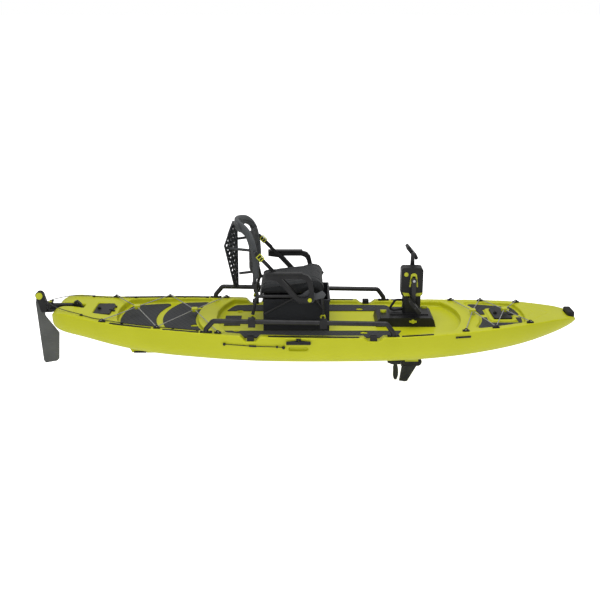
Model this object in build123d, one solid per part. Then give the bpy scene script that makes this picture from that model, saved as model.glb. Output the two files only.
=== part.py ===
"""Sit-on-top pedal boat: a rotomoulded hull with a frame seat, a crank-driven propeller unit
that drops through the hull, and a kick-up rudder steered by a hand lever.
Frame: X towards the bow, Y to port, Z up, in millimetres. The origin is on the keel's flat."""
from build123d import *
from functools import lru_cache
import math
import os

os.makedirs("parts", exist_ok=True)

# ---- hull: driving dimensions -------------------------------------------------------------
HULL_LENGTH = 3510.0
BEAM = 860.0
STERN_SHARE = 0.469          # of the length that lies aft of the origin
STERN_X = -STERN_SHARE * HULL_LENGTH
BOW_X = STERN_X + HULL_LENGTH
WALL = 6.0                   # moulded wall
RIM = 62.0                   # width of the gunwale's flat top
KEEL_WIDTH = 56.0            # flat keel band under the hull
KEEL_FRONT_X = 470.0
SKEG_X = -1150.0             # aft foot of the keel's step
SKEG_RAKE = 62.0
FIT = 0.3                    # gap round a piece that is let into another

# Lines plan. Each row: share of the length from the stern, share of the half beam,
# height of the gunwale, height of the keel, fullness of the section.
LINES = [
    (0.000, 0.360, 322, 208, 2.6),
    (0.010, 0.455, 340, 188, 2.8),
    (0.050, 0.570, 334, 154, 3.0),
    (0.100, 0.690, 309, 118, 3.1),
    (0.180, 0.830, 293, 64, 3.0),
    (0.270, 0.930, 279, 34, 2.9),
    (0.370, 0.985, 261, 14, 2.9),
    (0.470, 1.000, 251, 8, 2.9),
    (0.570, 0.995, 249, 9, 2.9),
    (0.670, 0.955, 252, 12, 2.8),
    (0.760, 0.860, 263, 25, 2.6),
    (0.840, 0.730, 276, 55, 2.4),
    (0.905, 0.570, 286, 100, 2.3),
    (0.955, 0.395, 288, 155, 2.2),
    (0.987, 0.240, 281, 205, 2.2),
    (1.000, 0.125, 268, 236, 2.2),
]

# ---- wells and deck features --------------------------------------------------------------
TANKWELL = (-1228.0, -602.0)     # aft and fore end of the rear well, on the centre line
TANKWELL_FLOOR = 249.0
COCKPIT = (-560.0, 1085.0)
COCKPIT_FLOOR = 222.0
BOW_WELL = (1128.0, 1512.0)
BOW_FLOOR = 255.0
END_BULGE = 88.0                 # how far a well's end arc stands out on the centre line
WELL_CORNER = 30.0
NOTCHES = (-318.0, 472.0)        # centres of the dips in the gunwales
NOTCH_TOP, NOTCH_FOOT, NOTCH_FLOOR = 128.0, 66.0, 224.0
PAD_THICK = 5.0                  # foam deck pads
PAD_MARGIN = 16.0
SCUPPER_R = 16.0
SCUPPERS = [(-420.0, 205.0), (420.0, 250.0), (-700.0, 185.0)]
SCUPPER_PAD_GAP = 9.0

# ---- drive --------------------------------------------------------------------------------
DRIVE_X = 760.0                  # axis of the upright shaft
CRANK_Z = 524.0
CRANK_LENGTH = 152.0
PROP_Z = -75.0
PROP_R = 134.0
PROP_X = 662.0                   # plane of the blades
SLOT = (618.0, 852.0)            # slot through the hull for the leg
SLOT_HALF = 48.0
POCKET_GAP = 16.0                # round the propeller, in the hull's bottom
DOCK = (508.0, 908.0)
DOCK_HALF = 124.0
DOCK_HEIGHT = 62.0
DOCK_TOP = COCKPIT_FLOOR + DOCK_HEIGHT

# ---- rudder -------------------------------------------------------------------------------
STEER_X = STERN_X - 46.0         # upright steering axis
RUDDER_PIN = (STERN_X - 112.0, 407.0)
MOUNT_SEAT = 300.0               # floor of the groove that holds the rudder mount
GROOVE_HALF = 40.0
GROOVE_FRONT = STERN_X + 186.0

# ---- seat ---------------------------------------------------------------------------------
SEAT_BASE = (-342.0, 202.0)
SEAT_BASE_HALF = 226.0
BACK_PIVOT = (-296.0, 548.0)
ARM_PIVOT = (63.0, 468.0)

TOP = 600.0                      # above everything that is cut from the deck


# ---- small helpers ------------------------------------------------------------------------
def smooth(rows, column, s):
    """Cubic Hermite curve through the lines plan's column, at share s of the length."""
    xs = [row[0] for row in rows]
    ys = [row[column] for row in rows]
    s = min(max(s, xs[0]), xs[-1])
    i = max(k for k in range(len(xs) - 1) if xs[k] <= s)

    def slope(k):
        low, high = max(k - 1, 0), min(k + 1, len(xs) - 1)
        return (ys[high] - ys[low]) / (xs[high] - xs[low])

    width = xs[i + 1] - xs[i]
    t = (s - xs[i]) / width
    return (
        ys[i] * (2 * t**3 - 3 * t**2 + 1)
        + slope(i) * width * (t**3 - 2 * t**2 + t)
        + ys[i + 1] * (3 * t**2 - 2 * t**3)
        + slope(i + 1) * width * (t**3 - t**2)
    )


def share(x):
    return (x - STERN_X) / HULL_LENGTH


def half_beam(x):
    return BEAM / 2 * smooth(LINES, 1, share(x))


def sheer(x):
    return smooth(LINES, 2, share(x))


def keel(x):
    return smooth(LINES, 3, share(x))


def side_y(x, z):
    """Half width of the hull's outside at height z."""
    n = smooth(LINES, 4, share(x))
    deep = (sheer(x) - z) / (sheer(x) - keel(x))
    return half_beam(x) * max(0.0, 1 - max(0.0, deep) ** n) ** (1 / n)


def box(x0, x1, y0, y1, z0, z1):
    return Pos((x0 + x1) / 2, (y0 + y1) / 2, (z0 + z1) / 2) * Box(x1 - x0, y1 - y0, z1 - z0)


def both(shape):
    """A starboard shape and its port twin."""
    return [shape, mirror(shape, about=Plane.XZ)]


def rod(a, b, r, r2=None):
    """A round bar from point a to point b, tapering to r2 where given."""
    a, b = Vector(*a), Vector(*b)
    length = (b - a).length
    bar = Cylinder(r, length) if r2 is None else Cone(r, r2, length)
    return Plane(origin=(a + b) / 2, z_dir=b - a) * bar


def disc(x, z, y0, y1, r):
    """A round bar along Y."""
    return rod((x, y0, z), (x, y1, z), r)


def tube(points, r, bends):
    """A round bar along straight runs joined by tangent arcs."""
    path = FilletPolyline(*points, radius=bends)
    return sweep(Plane(origin=path @ 0, z_dir=path % 0) * Circle(r), path=path)


def bar(a, b, width, height):
    """A flat bar whose top and bottom follow the line from a to b, with its foot on that line."""
    a, b = Vector(*a), Vector(*b)
    along = b - a
    across = Vector(0, 0, 1).cross(along).normalized()
    up = along.cross(across).normalized()
    centre = (a + b) / 2 + up * (height / 2)
    return Plane(origin=centre, x_dir=along, z_dir=up) * Box(along.length, width, height)


def plate(points, y0, y1):
    """An upright plate: a polygon of (x, z) points between two Y planes."""
    face = make_face(Polyline(*[(x, y0, z) for x, z in points], close=True))
    return extrude(face, amount=y1 - y0, dir=(0, 1, 0))


def soften(shape, radius, chosen=None):
    return fillet(shape.edges() if chosen is None else chosen, radius)


def save(name, shapes):
    shapes = shapes if isinstance(shapes, (list, tuple)) else [shapes]
    solids = [solid for shape in shapes for solid in shape.solids()]
    export_step(Compound(children=solids), f"parts/{name}.step")


# ---- hull ---------------------------------------------------------------------------------
def section(s, inset):
    """A hull section: a superellipse below a straight deck line."""
    x = STERN_X + s * HULL_LENGTH
    x = min(max(x, STERN_X + inset), BOW_X - inset)
    half = BEAM / 2 * smooth(LINES, 1, s) - inset
    top, foot = smooth(LINES, 2, s) - inset, smooth(LINES, 3, s) + inset
    power = 2 / smooth(LINES, 4, s)
    points = []
    for k in range(17):
        turn = math.pi * k / 16
        c, sn = math.cos(turn), math.sin(turn)
        y = half * math.copysign(abs(c) ** power, c)
        points.append((x, y if k != 8 else 0.0, top - (top - foot) * abs(sn) ** power))
    return make_face([Spline(*points), Line(points[-1], points[0])])


@lru_cache
def body(inset):
    return loft([section(row[0], inset) for row in LINES])


def well_outline(ends, rim, grow, front=1.0, rear=1.0):
    """Plan of a well: sides along the gunwale, ends as arcs that bulge towards bow and stern."""
    x0, x1 = ends[0] - grow, ends[1] + grow
    a, b = x0 + END_BULGE * max(rear, 0), x1 - END_BULGE * max(front, 0)
    xs = [a + (b - a) * k / 6 for k in range(7)]
    side = [(x, half_beam(x) - rim + grow) for x in xs]
    port = Spline(*side)
    starboard = Spline(*[(x, -y) for x, y in side])
    fore = ThreePointArc(side[-1], (b + END_BULGE * front, 0), (b, -side[-1][1]))
    aft = ThreePointArc(side[0], (a - END_BULGE * rear, 0), (a, -side[0][1]))
    face = make_face([port, fore, starboard, aft])
    return fillet(face.vertices(), WELL_CORNER)


def well(ends, floor, grow=0.0, front=1.0, rear=1.0):
    outline = well_outline(ends, RIM, grow, front, rear)
    return extrude(Pos(0, 0, floor - grow) * outline, amount=TOP - floor)


def wells(grow=0.0):
    return [
        well(TANKWELL, TANKWELL_FLOOR, grow, front=-1.0, rear=0.5),
        well(COCKPIT, COCKPIT_FLOOR, grow),
        well(BOW_WELL, BOW_FLOOR, grow, front=0.3, rear=-1.0),
    ]


def notches(grow=0.0):
    """The dips across both gunwales."""
    cuts = []
    for x in NOTCHES:
        top, foot, floor = NOTCH_TOP / 2 + grow, NOTCH_FOOT / 2 + grow, NOTCH_FLOOR - grow
        outer, inner = half_beam(x) + 30, half_beam(x) - RIM - 12
        lift = 60.0
        spread = (top - foot) * (lift / (sheer(x) - floor))
        profile = [(x - foot, floor), (x + foot, floor), (x + foot + spread, floor + lift),
                   (x - foot - spread, floor + lift)]
        cuts += both(plate(profile, inner - grow, outer))
    return cuts


HATCH_STERN = (-1388.0, -1272.0, 116.0)      # aft end, fore end, half width of the lid
HATCH_BOW = (1300.0, 1426.0, 106.0)
HATCH_LIP = 12.0                             # ledge that carries a lid
HATCH_DEPTH = 62.0
STERN_LEDGE = 297.0
RING_TOP = 272.0                             # top of the raised ring round the bow hatch
RING_MARGIN = 26.0


def hatch_seat(hatch, ledge):
    x0, x1, half = hatch
    seat = box(x0 - FIT, x1 + FIT, -half - FIT, half + FIT, ledge, TOP)
    return seat


def hatch_cup(hatch, ledge, grow=0.0):
    x0, x1, half = hatch
    lip = HATCH_LIP - grow
    return box(x0 + lip, x1 - lip, -half + lip, half - lip, ledge - HATCH_DEPTH - grow, TOP)


def hatch_ring():
    x0, x1, half = HATCH_BOW
    ring = box(x0 - RING_MARGIN, x1 + RING_MARGIN, -half - RING_MARGIN, half + RING_MARGIN,
               BOW_FLOOR - 1, RING_TOP)
    ring = soften(ring, 24, ring.edges().filter_by(Axis.Z))
    return soften(ring, 6, ring.faces().sort_by(Axis.Z)[-1].edges())


HANDLE_X = -10.0                 # middle of the side carry handles
HANDLE_Z = 222.0
RECESS = (124.0, 28.0, 22.0)     # finger recess: length, height, depth
RECESS_Z = 176.0


def handle_recess(grow=0.0):
    length, height, depth = RECESS
    y = side_y(HANDLE_X, RECESS_Z)
    return both(box(HANDLE_X - length / 2 - grow, HANDLE_X + length / 2 + grow,
                    -y - 60, -y + depth + grow, RECESS_Z - height / 2 - grow,
                    RECESS_Z + height / 2 + grow))


def scuppers(r):
    return [Pos(x, y * side, 150) * Cylinder(r, 500) for x, y in SCUPPERS for side in (-1, 1)]


def drive_slot(grow=0.0):
    slot = box(SLOT[0] - grow, SLOT[1] + grow, -SLOT_HALF - grow, SLOT_HALF + grow, -60, TOP)
    half = 44.0 + grow
    radius = PROP_R + POCKET_GAP + grow
    pocket = rod((PROP_X - half, 0, PROP_Z), (PROP_X + half, 0, PROP_Z), radius)
    return [slot, pocket]


def rudder_groove(grow=0.0):
    return box(STERN_X - 60, GROOVE_FRONT + grow, -GROOVE_HALF - grow, GROOVE_HALF + grow,
               MOUNT_SEAT - grow, TOP)


# Fittings on the gunwales: x and the distance in from the hull's edge.
EYELET_X = (-1292.0, -925.0, -528.0, 1075.0, 1276.0, 1514.0)
EYELET_IN = 30.0
EYELET_SIZE = (44.0, 20.0, 11.0)
TRACKS = ((-1240.0, -962.0), (-888.0, -650.0), (-205.0, 380.0), (655.0, 862.0))
TRACK_IN = 22.0
TRACK_SIZE = (16.0, 9.0)         # width and depth of the extrusion
TRACK_PROUD = 2.0
FOOT_X = (-604.0, 600.0)         # feet of the side rails
FOOT_IN = 31.0
FOOT_SIZE = (78.0, 30.0, 8.0)
SEAT_DEPTH = 2.5                 # how far a fitting's flat seat is let into the gunwale


def track_line(x0, x1):
    return ((x0, -(half_beam(x0) - TRACK_IN), sheer(x0) + TRACK_PROUD - TRACK_SIZE[1]),
            (x1, -(half_beam(x1) - TRACK_IN), sheer(x1) + TRACK_PROUD - TRACK_SIZE[1]))


def flat_seat(x, inset, size):
    """Cuts a level seat into the gunwale for a fitting with this footprint."""
    length, width = size[0] + 2 * FIT, size[1] + 2 * FIT
    y = half_beam(x) - inset
    level = sheer(x) - SEAT_DEPTH
    return both(box(x - length / 2, x + length / 2, -y - width / 2, -y + width / 2,
                    level, level + 40))


BOW_CAP = (BOW_X - 62.0, BOW_X - 14.0)
BOW_CAP_HALF = 66.0
BOW_CAP_SEAT = 262.0


def bow_seat():
    x0, x1 = BOW_CAP
    return box(x0 - FIT, BOW_X + 10, -BOW_CAP_HALF - FIT, BOW_CAP_HALF + FIT, BOW_CAP_SEAT, TOP)


def track_slots():
    cuts = []
    for x0, x1 in TRACKS:
        a, b = track_line(x0, x1)
        a = (a[0] - FIT, a[1], a[2] - FIT)
        b = (b[0] + FIT, b[1], b[2] - FIT)
        cuts += both(bar(a, b, TRACK_SIZE[0] + 2 * FIT, TRACK_SIZE[1] + 20))
    return cuts


GROOVE_LINES = [((1560, 150), (1640, 74), (1690, 0)), ((1500, 128), (1552, 66), (1580, 0))]


def deck_grooves():
    """Moulded chevron lines in the foredeck."""
    cuts = []
    for line in GROOVE_LINES:
        for a, b in zip(line, line[1:]):
            depth = 5.0
            cuts += both(bar((a[0], -a[1], sheer(a[0]) - depth), (b[0], -b[1], sheer(b[0]) - depth),
                             9, 30))
    return cuts


SKID = (SKEG_X + 10.0, SKEG_X + 96.0)
SKID_THICK = 12.0


def skid_recess():
    return box(SKID[0], SKID[1], -KEEL_WIDTH, KEEL_WIDTH, -20, SKID_THICK)


def keel_skid():
    """Wear plate let into the foot of the keel's step."""
    return box(SKID[0] + FIT, SKID[1] - FIT, -KEEL_WIDTH / 2, KEEL_WIDTH / 2, 0, SKID_THICK)


def hull():
    bottom = [(SKEG_X - SKEG_RAKE, keel(SKEG_X) + 20), (SKEG_X, 0), (KEEL_FRONT_X, 0),
              (KEEL_FRONT_X + 120, keel(KEEL_FRONT_X) + 8), (KEEL_FRONT_X + 120, 60),
              (SKEG_X + 400, 60)]
    ridge = plate(bottom, -KEEL_WIDTH / 2, KEEL_WIDTH / 2)
    outside = body(0) + ridge
    outside -= wells()
    outside += hatch_ring()
    cuts = [*notches(), *handle_recess(), *scuppers(SCUPPER_R), *drive_slot(), rudder_groove(),
            hatch_seat(HATCH_STERN, STERN_LEDGE), hatch_cup(HATCH_STERN, STERN_LEDGE),
            hatch_seat(HATCH_BOW, RING_TOP - 8), hatch_cup(HATCH_BOW, RING_TOP - 8),
            *track_slots(), bow_seat(), *deck_grooves(), skid_recess()]
    for x in EYELET_X:
        cuts += flat_seat(x, EYELET_IN, EYELET_SIZE)
    for x in FOOT_X:
        cuts += flat_seat(x, FOOT_IN, FOOT_SIZE)
    outside -= cuts
    hollow = body(WALL)
    kept = [*wells(WALL), *notches(WALL), *handle_recess(WALL), *scuppers(SCUPPER_R + WALL),
            *drive_slot(WALL), rudder_groove(WALL), hatch_cup(HATCH_STERN, STERN_LEDGE, WALL),
            hatch_cup(HATCH_BOW, RING_TOP - 8, WALL),
            box(STERN_X, GROOVE_FRONT + 220, -130, 130, STERN_LEDGE - WALL, TOP),
            box(BOW_CAP[0] - WALL, BOW_X, -90, 90, BOW_CAP_SEAT - WALL, TOP)]
    for x0, x1 in TRACKS:
        a, b = track_line(x0, x1)
        kept += both(bar((a[0] - WALL, a[1], a[2] - WALL), (b[0] + WALL, b[1], b[2] - WALL),
                         TRACK_SIZE[0] + 2 * WALL, 60))
    hollow -= kept
    return outside - hollow



# ---- deck fittings ------------------------------------------------------------------------
CORD_R = 3.0
PAD_SPLIT = -884.0               # where the rear well's two pads part, at the sides
SPLIT_BAND = 44.0                # bare hull between them


def pad(ends, floor, cuts, front=1.0, rear=1.0):
    sheet = extrude(Pos(0, 0, floor) * well_outline(ends, RIM + PAD_MARGIN, 0.0, front, rear),
                    amount=PAD_THICK)
    return sheet - cuts


def deck_pads():
    """Closed-cell foam sheets glued to the floors of the three wells."""
    holes = scuppers(SCUPPER_R + SCUPPER_PAD_GAP)
    margin = PAD_MARGIN
    aft = pad((TANKWELL[0] + margin, PAD_SPLIT), TANKWELL_FLOOR, holes, -1.0, 0.5)
    fore = pad((PAD_SPLIT + SPLIT_BAND - END_BULGE, TANKWELL[1] - margin), TANKWELL_FLOOR, holes, -1.0, 1.0)
    floor = pad((COCKPIT[0] + margin, 700.0), COCKPIT_FLOOR, holes)
    floor -= box(-700, 900, -212, 212, 0, TOP)
    bow = pad((BOW_WELL[0] + margin, BOW_WELL[1] - margin), BOW_FLOOR, holes, 0.3, -1.0)
    ring = HATCH_BOW[2] + RING_MARGIN + 10
    bow -= box(BOW_WELL[0] - 200, BOW_WELL[1] + 200, -34, 34, 0, TOP)
    bow -= box(HATCH_BOW[0] - RING_MARGIN - 10, HATCH_BOW[1] + RING_MARGIN + 10, -ring, ring, 0, TOP)
    tabs = [box(-512, -402, side * 62 - 40, side * 62 + 40, COCKPIT_FLOOR, COCKPIT_FLOOR + PAD_THICK)
            for side in (-1, 1)]
    return [aft, fore, floor, bow, *tabs]


def gear_tracks():
    """Slotted extrusions let into the gunwales."""
    bars = []
    for x0, x1 in TRACKS:
        a, b = track_line(x0, x1)
        body_bar = bar(a, b, *TRACK_SIZE)
        lift = TRACK_SIZE[1] - 4
        slot = bar((a[0] - 5, a[1], a[2] + lift), (b[0] + 5, b[1], b[2] + lift), 6, 8)
        bars += both(body_bar - slot)
    return bars


RING_R = 9.5                     # of the padeye's loop


def eye_point(x):
    """Where a cord passes through the padeye's loop."""
    return Vector(x, -(half_beam(x) - EYELET_IN), sheer(x) - SEAT_DEPTH + EYELET_SIZE[2] + CORD_R + 0.2)


def padeye(x):
    length, width, height = EYELET_SIZE
    y = -(half_beam(x) - EYELET_IN)
    foot = sheer(x) - SEAT_DEPTH
    base = box(x - length / 2, x + length / 2, y - width / 2, y + width / 2, foot, foot + height)
    ring = Pos(x, y, foot + height) * Rot(90, 0, 0) * Torus(RING_R, CORD_R)
    return base + (ring & box(x - 40, x + 40, y - 40, y + 40, foot + height - 0.5, TOP))


def padeyes():
    return [eye for x in EYELET_X for eye in both(padeye(x))]


HUB = (46.0, 12.0)
HUBS = (-1105.0, -716.0, 1172.0, 1386.0)
CORD_TAIL = 7.0                  # past the padeye
HUB_LIFT = 26.0                 # above the straight line between its padeyes


def hub_point(index):
    x = HUBS[index]
    rear = sum(1 for eye in EYELET_X if eye < x) - 1
    x0, x1 = EYELET_X[rear], EYELET_X[rear + 1]
    top = sheer(x0) + (sheer(x1) - sheer(x0)) * (x - x0) / (x1 - x0)
    return Vector(x, 0, top + HUB_LIFT), x0, x1


def bungee_hubs():
    size, thick = HUB
    return [Pos(*hub_point(k)[0]) * Rot(0, 0, 45) * Box(size, size, thick) for k in range(4)]


def bungee(indices):
    """Shock cord from padeye to padeye, crossing at the hubs."""
    runs = {}
    for k in indices:
        centre, x0, x1 = hub_point(k)
        hub = Pos(*centre) * Rot(0, 0, 45) * Box(HUB[0], HUB[0], HUB[1])
        for x in (x0, x1):
            eye = eye_point(x)
            tail = (eye - centre).normalized() * CORD_TAIL
            run = rod(eye + tail, centre, CORD_R) - hub
            runs[x] = runs[x] + run if x in runs else run
    return [cord for run in runs.values() for cord in both(run)]


CLIP = (44.0, 40.0, 30.0)


def gunwale_clips():
    """Guide blocks that stand in the dips of the gunwales."""
    blocks = []
    length, width, height = CLIP
    for x in NOTCHES:
        y = half_beam(x) - 12
        block = box(x - length / 2, x + length / 2, -y, -y + width, NOTCH_FLOOR, NOTCH_FLOOR + height)
        block -= box(x - length, x + length, -y + 12, -y + width - 12, NOTCH_FLOOR + 14, TOP)
        blocks += both(block)
    return blocks


VENT = (100.0, 12.0, 5.0)
VENT_X, VENT_Z = 1054.0, 236.0


def side_vents():
    """Slotted trims on the hull's sides, under the gunwale."""
    length, height, depth = VENT
    y = min(side_y(VENT_X - length / 2, VENT_Z - height), side_y(VENT_X + length / 2, VENT_Z - height))
    face = box(VENT_X - length / 2, VENT_X + length / 2, -y - 60, -y, VENT_Z - height / 2,
               VENT_Z + height / 2)
    outer = body(-depth) & face
    return both(outer - body(-FIT) - box(VENT_X - 40, VENT_X + 40, -y - 80, -y - 16, VENT_Z - 2, VENT_Z + 2))


def bow_handle():
    """Moulded grip over the bow, with a slot for the fingers."""
    x0, x1 = BOW_CAP
    grip = box(x0, x1, -BOW_CAP_HALF, BOW_CAP_HALF, BOW_CAP_SEAT, BOW_CAP_SEAT + 46)
    grip = soften(grip, 12, grip.edges().filter_by(Axis.Z))
    grip = soften(grip, 8, grip.faces().sort_by(Axis.Z)[-1].edges())
    return grip - box(x0 - 5, x1 + 5, -BOW_CAP_HALF + 24, BOW_CAP_HALF - 24, BOW_CAP_SEAT - 5,
                      BOW_CAP_SEAT + 26)


# ---- carry handles on the hull's sides -----------------------------------------------------
GRIP_R, GRIP_LENGTH = 11.0, 156.0
EYE_PIN_R, EYE_PIN_Z = 3.0, 245.0
CHEEK_R = 4.0
CORD_GAP = 0.3


def handle_hinge_y():
    return side_y(HANDLE_X, EYE_PIN_Z) + 13.0


def handle_eyelet():
    """Bracket on the hull's side, with a pin between two rounded cheeks."""
    y, face = handle_hinge_y(), side_y(HANDLE_X, EYE_PIN_Z)
    back = box(HANDLE_X - 16, HANDLE_X + 16, -face - 4, -face + 2, EYE_PIN_Z - 10, EYE_PIN_Z + 5)
    cheeks = []
    for side in (-1, 1):
        x0, x1 = sorted((HANDLE_X + side * 8.5, HANDLE_X + side * 13.5))
        cheeks.append(rod((x0, -y, EYE_PIN_Z), (x1, -y, EYE_PIN_Z), CHEEK_R))
        cheeks.append(box(x0, x1, -y, -face - 2, EYE_PIN_Z - CHEEK_R, EYE_PIN_Z + CHEEK_R))
    pin = rod((HANDLE_X - 13, -y, EYE_PIN_Z), (HANDLE_X + 13, -y, EYE_PIN_Z), EYE_PIN_R)
    return back + cheeks + pin - body(-FIT)


def handle_grip():
    y = handle_hinge_y()
    core = rod((HANDLE_X - GRIP_LENGTH / 2, -y, HANDLE_Z), (HANDLE_X + GRIP_LENGTH / 2, -y, HANDLE_Z), GRIP_R)
    return core


def handle_cord():
    y = handle_hinge_y()
    loop = rod((HANDLE_X - 7, -y, EYE_PIN_Z), (HANDLE_X + 7, -y, EYE_PIN_Z), EYE_PIN_R + 3.5)
    pin = rod((HANDLE_X - 20, -y, EYE_PIN_Z), (HANDLE_X + 20, -y, EYE_PIN_Z), EYE_PIN_R + CORD_GAP)
    legs = [rod((HANDLE_X + side * 4, -y, EYE_PIN_Z - 7.5), (HANDLE_X + side * (GRIP_LENGTH / 2 - 12), -y,
                                                        HANDLE_Z + GRIP_R - 2), CORD_R)
            for side in (-1, 1)]
    return (loop + legs) - pin - handle_grip()


# ---- paddle keeper -------------------------------------------------------------------------
def paddle_keeper():
    """Shock cord on the starboard side, with its sleeve, tee and ball."""
    marks = [(-485.0, 208.0), (-326.0, 198.0), (-281.0, 196.0), (-147.0, 193.0), (-105.0, 190.0)]
    points = [Vector(x, -(side_y(x, height) + 6.5), height) for x, height in marks]
    cord = [rod(points[0], points[1], CORD_R - 0.5), rod(points[2], points[3], CORD_R - 0.5)]
    sleeve = [rod(points[1], points[2], 6)]
    ball = [Pos(*points[4]) * Pos(0, -5.5, 0) * Sphere(10.5)]
    ends = [rod(points[0] + Vector(0, 6.5, 0), points[0] + Vector(0, -5, 0), 9),
            rod(points[3] + Vector(0, 6.5, 0), points[3] + Vector(0, -5, 0), 7)]
    tail = rod(points[3], points[4], CORD_R - 0.5) - ends[1] - ball[0]
    side = body(-FIT)
    return {"paddle_cord": [part - ends[0] - ends[1] for part in cord] + [tail],
            "paddle_toggle": sleeve + ball,
            "paddle_buttons": [end - side for end in ends]}


# ---- hatches -------------------------------------------------------------------------------
LID_THICK = 12.0
SEAL_THICK = 3.0
LID_GAP = 0.3
PIN_R, KNUCKLE_R = 2.5, 6.0
RUN = 0.05                       # radial play of a pin in its bore
HINGE_HALF = 34.0
LATCH_IN = 26.0                  # latch stem, in from the lid's aft edge


def lid_base(hatch, ledge):
    return ledge + SEAL_THICK + LID_GAP


def hinge_axis(hatch, ledge):
    return hatch[1] + KNUCKLE_R + 3, lid_base(hatch, ledge) + LID_THICK + KNUCKLE_R / 2


def hatch_lid(hatch, ledge):
    x0, x1, half = hatch
    base = lid_base(hatch, ledge)
    lid = box(x0 + 1, x1 - 1, -half + 1, half - 1, base, base + LID_THICK)
    lid = soften(lid, 16, lid.edges().filter_by(Axis.Z))
    lid = soften(lid, 3, lid.faces().sort_by(Axis.Z)[-1].edges())
    x, z = hinge_axis(hatch, ledge)
    arm = box(x1 - 16, x, -HINGE_HALF + 1, HINGE_HALF - 1, z - KNUCKLE_R, z + 1)
    lid += arm + disc(x, z, -HINGE_HALF + 1, HINGE_HALF - 1, KNUCKLE_R)
    lid -= disc(x, z, -HINGE_HALF - 5, HINGE_HALF + 5, PIN_R + RUN)
    hole_x = x0 + LATCH_IN
    return lid - Pos(hole_x, 0, base) * Cylinder(4 + RUN, 80)


def hatch_seal(hatch, ledge):
    x0, x1, half = hatch
    outer = box(x0 + 1.5, x1 - 1.5, -half + 1.5, half - 1.5, ledge, ledge + SEAL_THICK)
    inner = HATCH_LIP - 0.5
    return outer - box(x0 + inner, x1 - inner, -half + inner, half - inner, 0, TOP)


def hatch_hinge(hatch, ledge, deck):
    x, z = hinge_axis(hatch, ledge)
    parts = []
    for side in (-1, 1):
        y0, y1 = sorted((side * HINGE_HALF, side * (HINGE_HALF + 16)))
        ear = disc(x, z, y0, y1, KNUCKLE_R) + box(x - 2, x + 14, y0, y1, deck, z)
        parts.append(ear - disc(x, z, -80, 80, PIN_R) - body(-FIT))
    return parts + [disc(x, z, -HINGE_HALF - 15, HINGE_HALF + 15, PIN_R)]


def hatch_latch(hatch, ledge):
    """A quarter-turn button on the lid."""
    base = lid_base(hatch, ledge)
    x = hatch[0] + LATCH_IN
    top = base + LID_THICK
    button = Pos(x, 0, top + LID_GAP + 4) * Cylinder(13, 8)
    button += box(x - 4, x + 4, -15, 15, top + LID_GAP, top + 16)
    stem = Pos(x, 0, (base + top) / 2 - 3) * Cylinder(4, LID_THICK + 8)
    tongue = box(x - 4, x + 4, -9, 9, base - 8, base - 3)
    return button + stem + tongue


def hatch_hinges():
    aft_deck = sheer(HATCH_STERN[1]) - 6
    return [*hatch_hinge(HATCH_STERN, STERN_LEDGE, aft_deck),
            *hatch_hinge(HATCH_BOW, RING_TOP - 8, RING_TOP)]


# ---- side rails ----------------------------------------------------------------------------
RAIL_R = 16.0
RAIL_Y = 385.0
RAIL_Z = (352.0, 332.0)
RAIL_END = 556.0
PEG_X = (-309.0, 150.0)
PEG_Z = 331.0
PEG_R = 10.0
PEG_INNER = 226.0
CLAMP = (46.0, 46.0)


def rail_z(x):
    return RAIL_Z[0] + (RAIL_Z[1] - RAIL_Z[0]) * (x + RAIL_END) / (2 * RAIL_END)


def foot_point(x):
    return -(half_beam(x) - FOOT_IN), sheer(x) - SEAT_DEPTH


def rail():
    """One tube: upright ends that stand in the feet, slanted legs and a straight grab rail."""
    (ya, za), (yb, zb) = foot_point(FOOT_X[0]), foot_point(FOOT_X[1])
    plate_thick = FOOT_SIZE[2]
    points = [(FOOT_X[0], ya, za + plate_thick), (FOOT_X[0], ya, za + plate_thick + 16),
              (-RAIL_END, -RAIL_Y, RAIL_Z[0]), (RAIL_END, -RAIL_Y, RAIL_Z[1]),
              (FOOT_X[1], yb, zb + plate_thick + 16), (FOOT_X[1], yb, zb + plate_thick)]
    return tube(points, RAIL_R, [14, 24, 24, 14])


def rail_feet():
    feet = []
    length, width, thick = FOOT_SIZE
    for x in FOOT_X:
        y, z = foot_point(x)
        foot = box(x - length / 2, x + length / 2, y - width / 2, y + width / 2, z, z + thick)
        holes = [Pos(x + side * 30, y, z) * Cylinder(4, 60) for side in (-1, 1)]
        feet += both(foot - holes)
    return feet


def rail_bolts():
    bolts = []
    for x in FOOT_X:
        y, z = foot_point(x)
        for side in (-1, 1):
            shank = Pos(x + side * 30, y, z + FOOT_SIZE[2] / 2) * Cylinder(3.9, FOOT_SIZE[2])
            head = Pos(x + side * 30, y, z + FOOT_SIZE[2] + 2) * Cylinder(7, 4)
            bolts += both(shank + head)
    return bolts


def rail_clamps():
    clamps = []
    length, width = CLAMP
    for x in PEG_X:
        z = rail_z(x)
        block = box(x - length / 2, x + length / 2, -RAIL_Y - width / 2, -RAIL_Y + width / 2,
                    z - 32, z + width / 2)
        block -= rod((-RAIL_END, -RAIL_Y, RAIL_Z[0]), (RAIL_END, -RAIL_Y, RAIL_Z[1]), RAIL_R + RUN)
        clamps += both(block)
    return clamps


def seat_pegs():
    pegs = []
    for x in PEG_X:
        inner = RAIL_Y - CLAMP[1] / 2
        pegs += both(rod((x, -inner, PEG_Z), (x, -PEG_INNER, PEG_Z), PEG_R))
    return pegs


# ---- seat ----------------------------------------------------------------------------------
FRAME_R = 11.0
HOOK_Y = 240.0
PLATE_Y = (262.0, 270.0)
ARM_Y = (276.0, 306.0)
PAN_Z = 472.0
PAN_X = (-283.0, 140.0)
BOLT_R = 6.0


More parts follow.
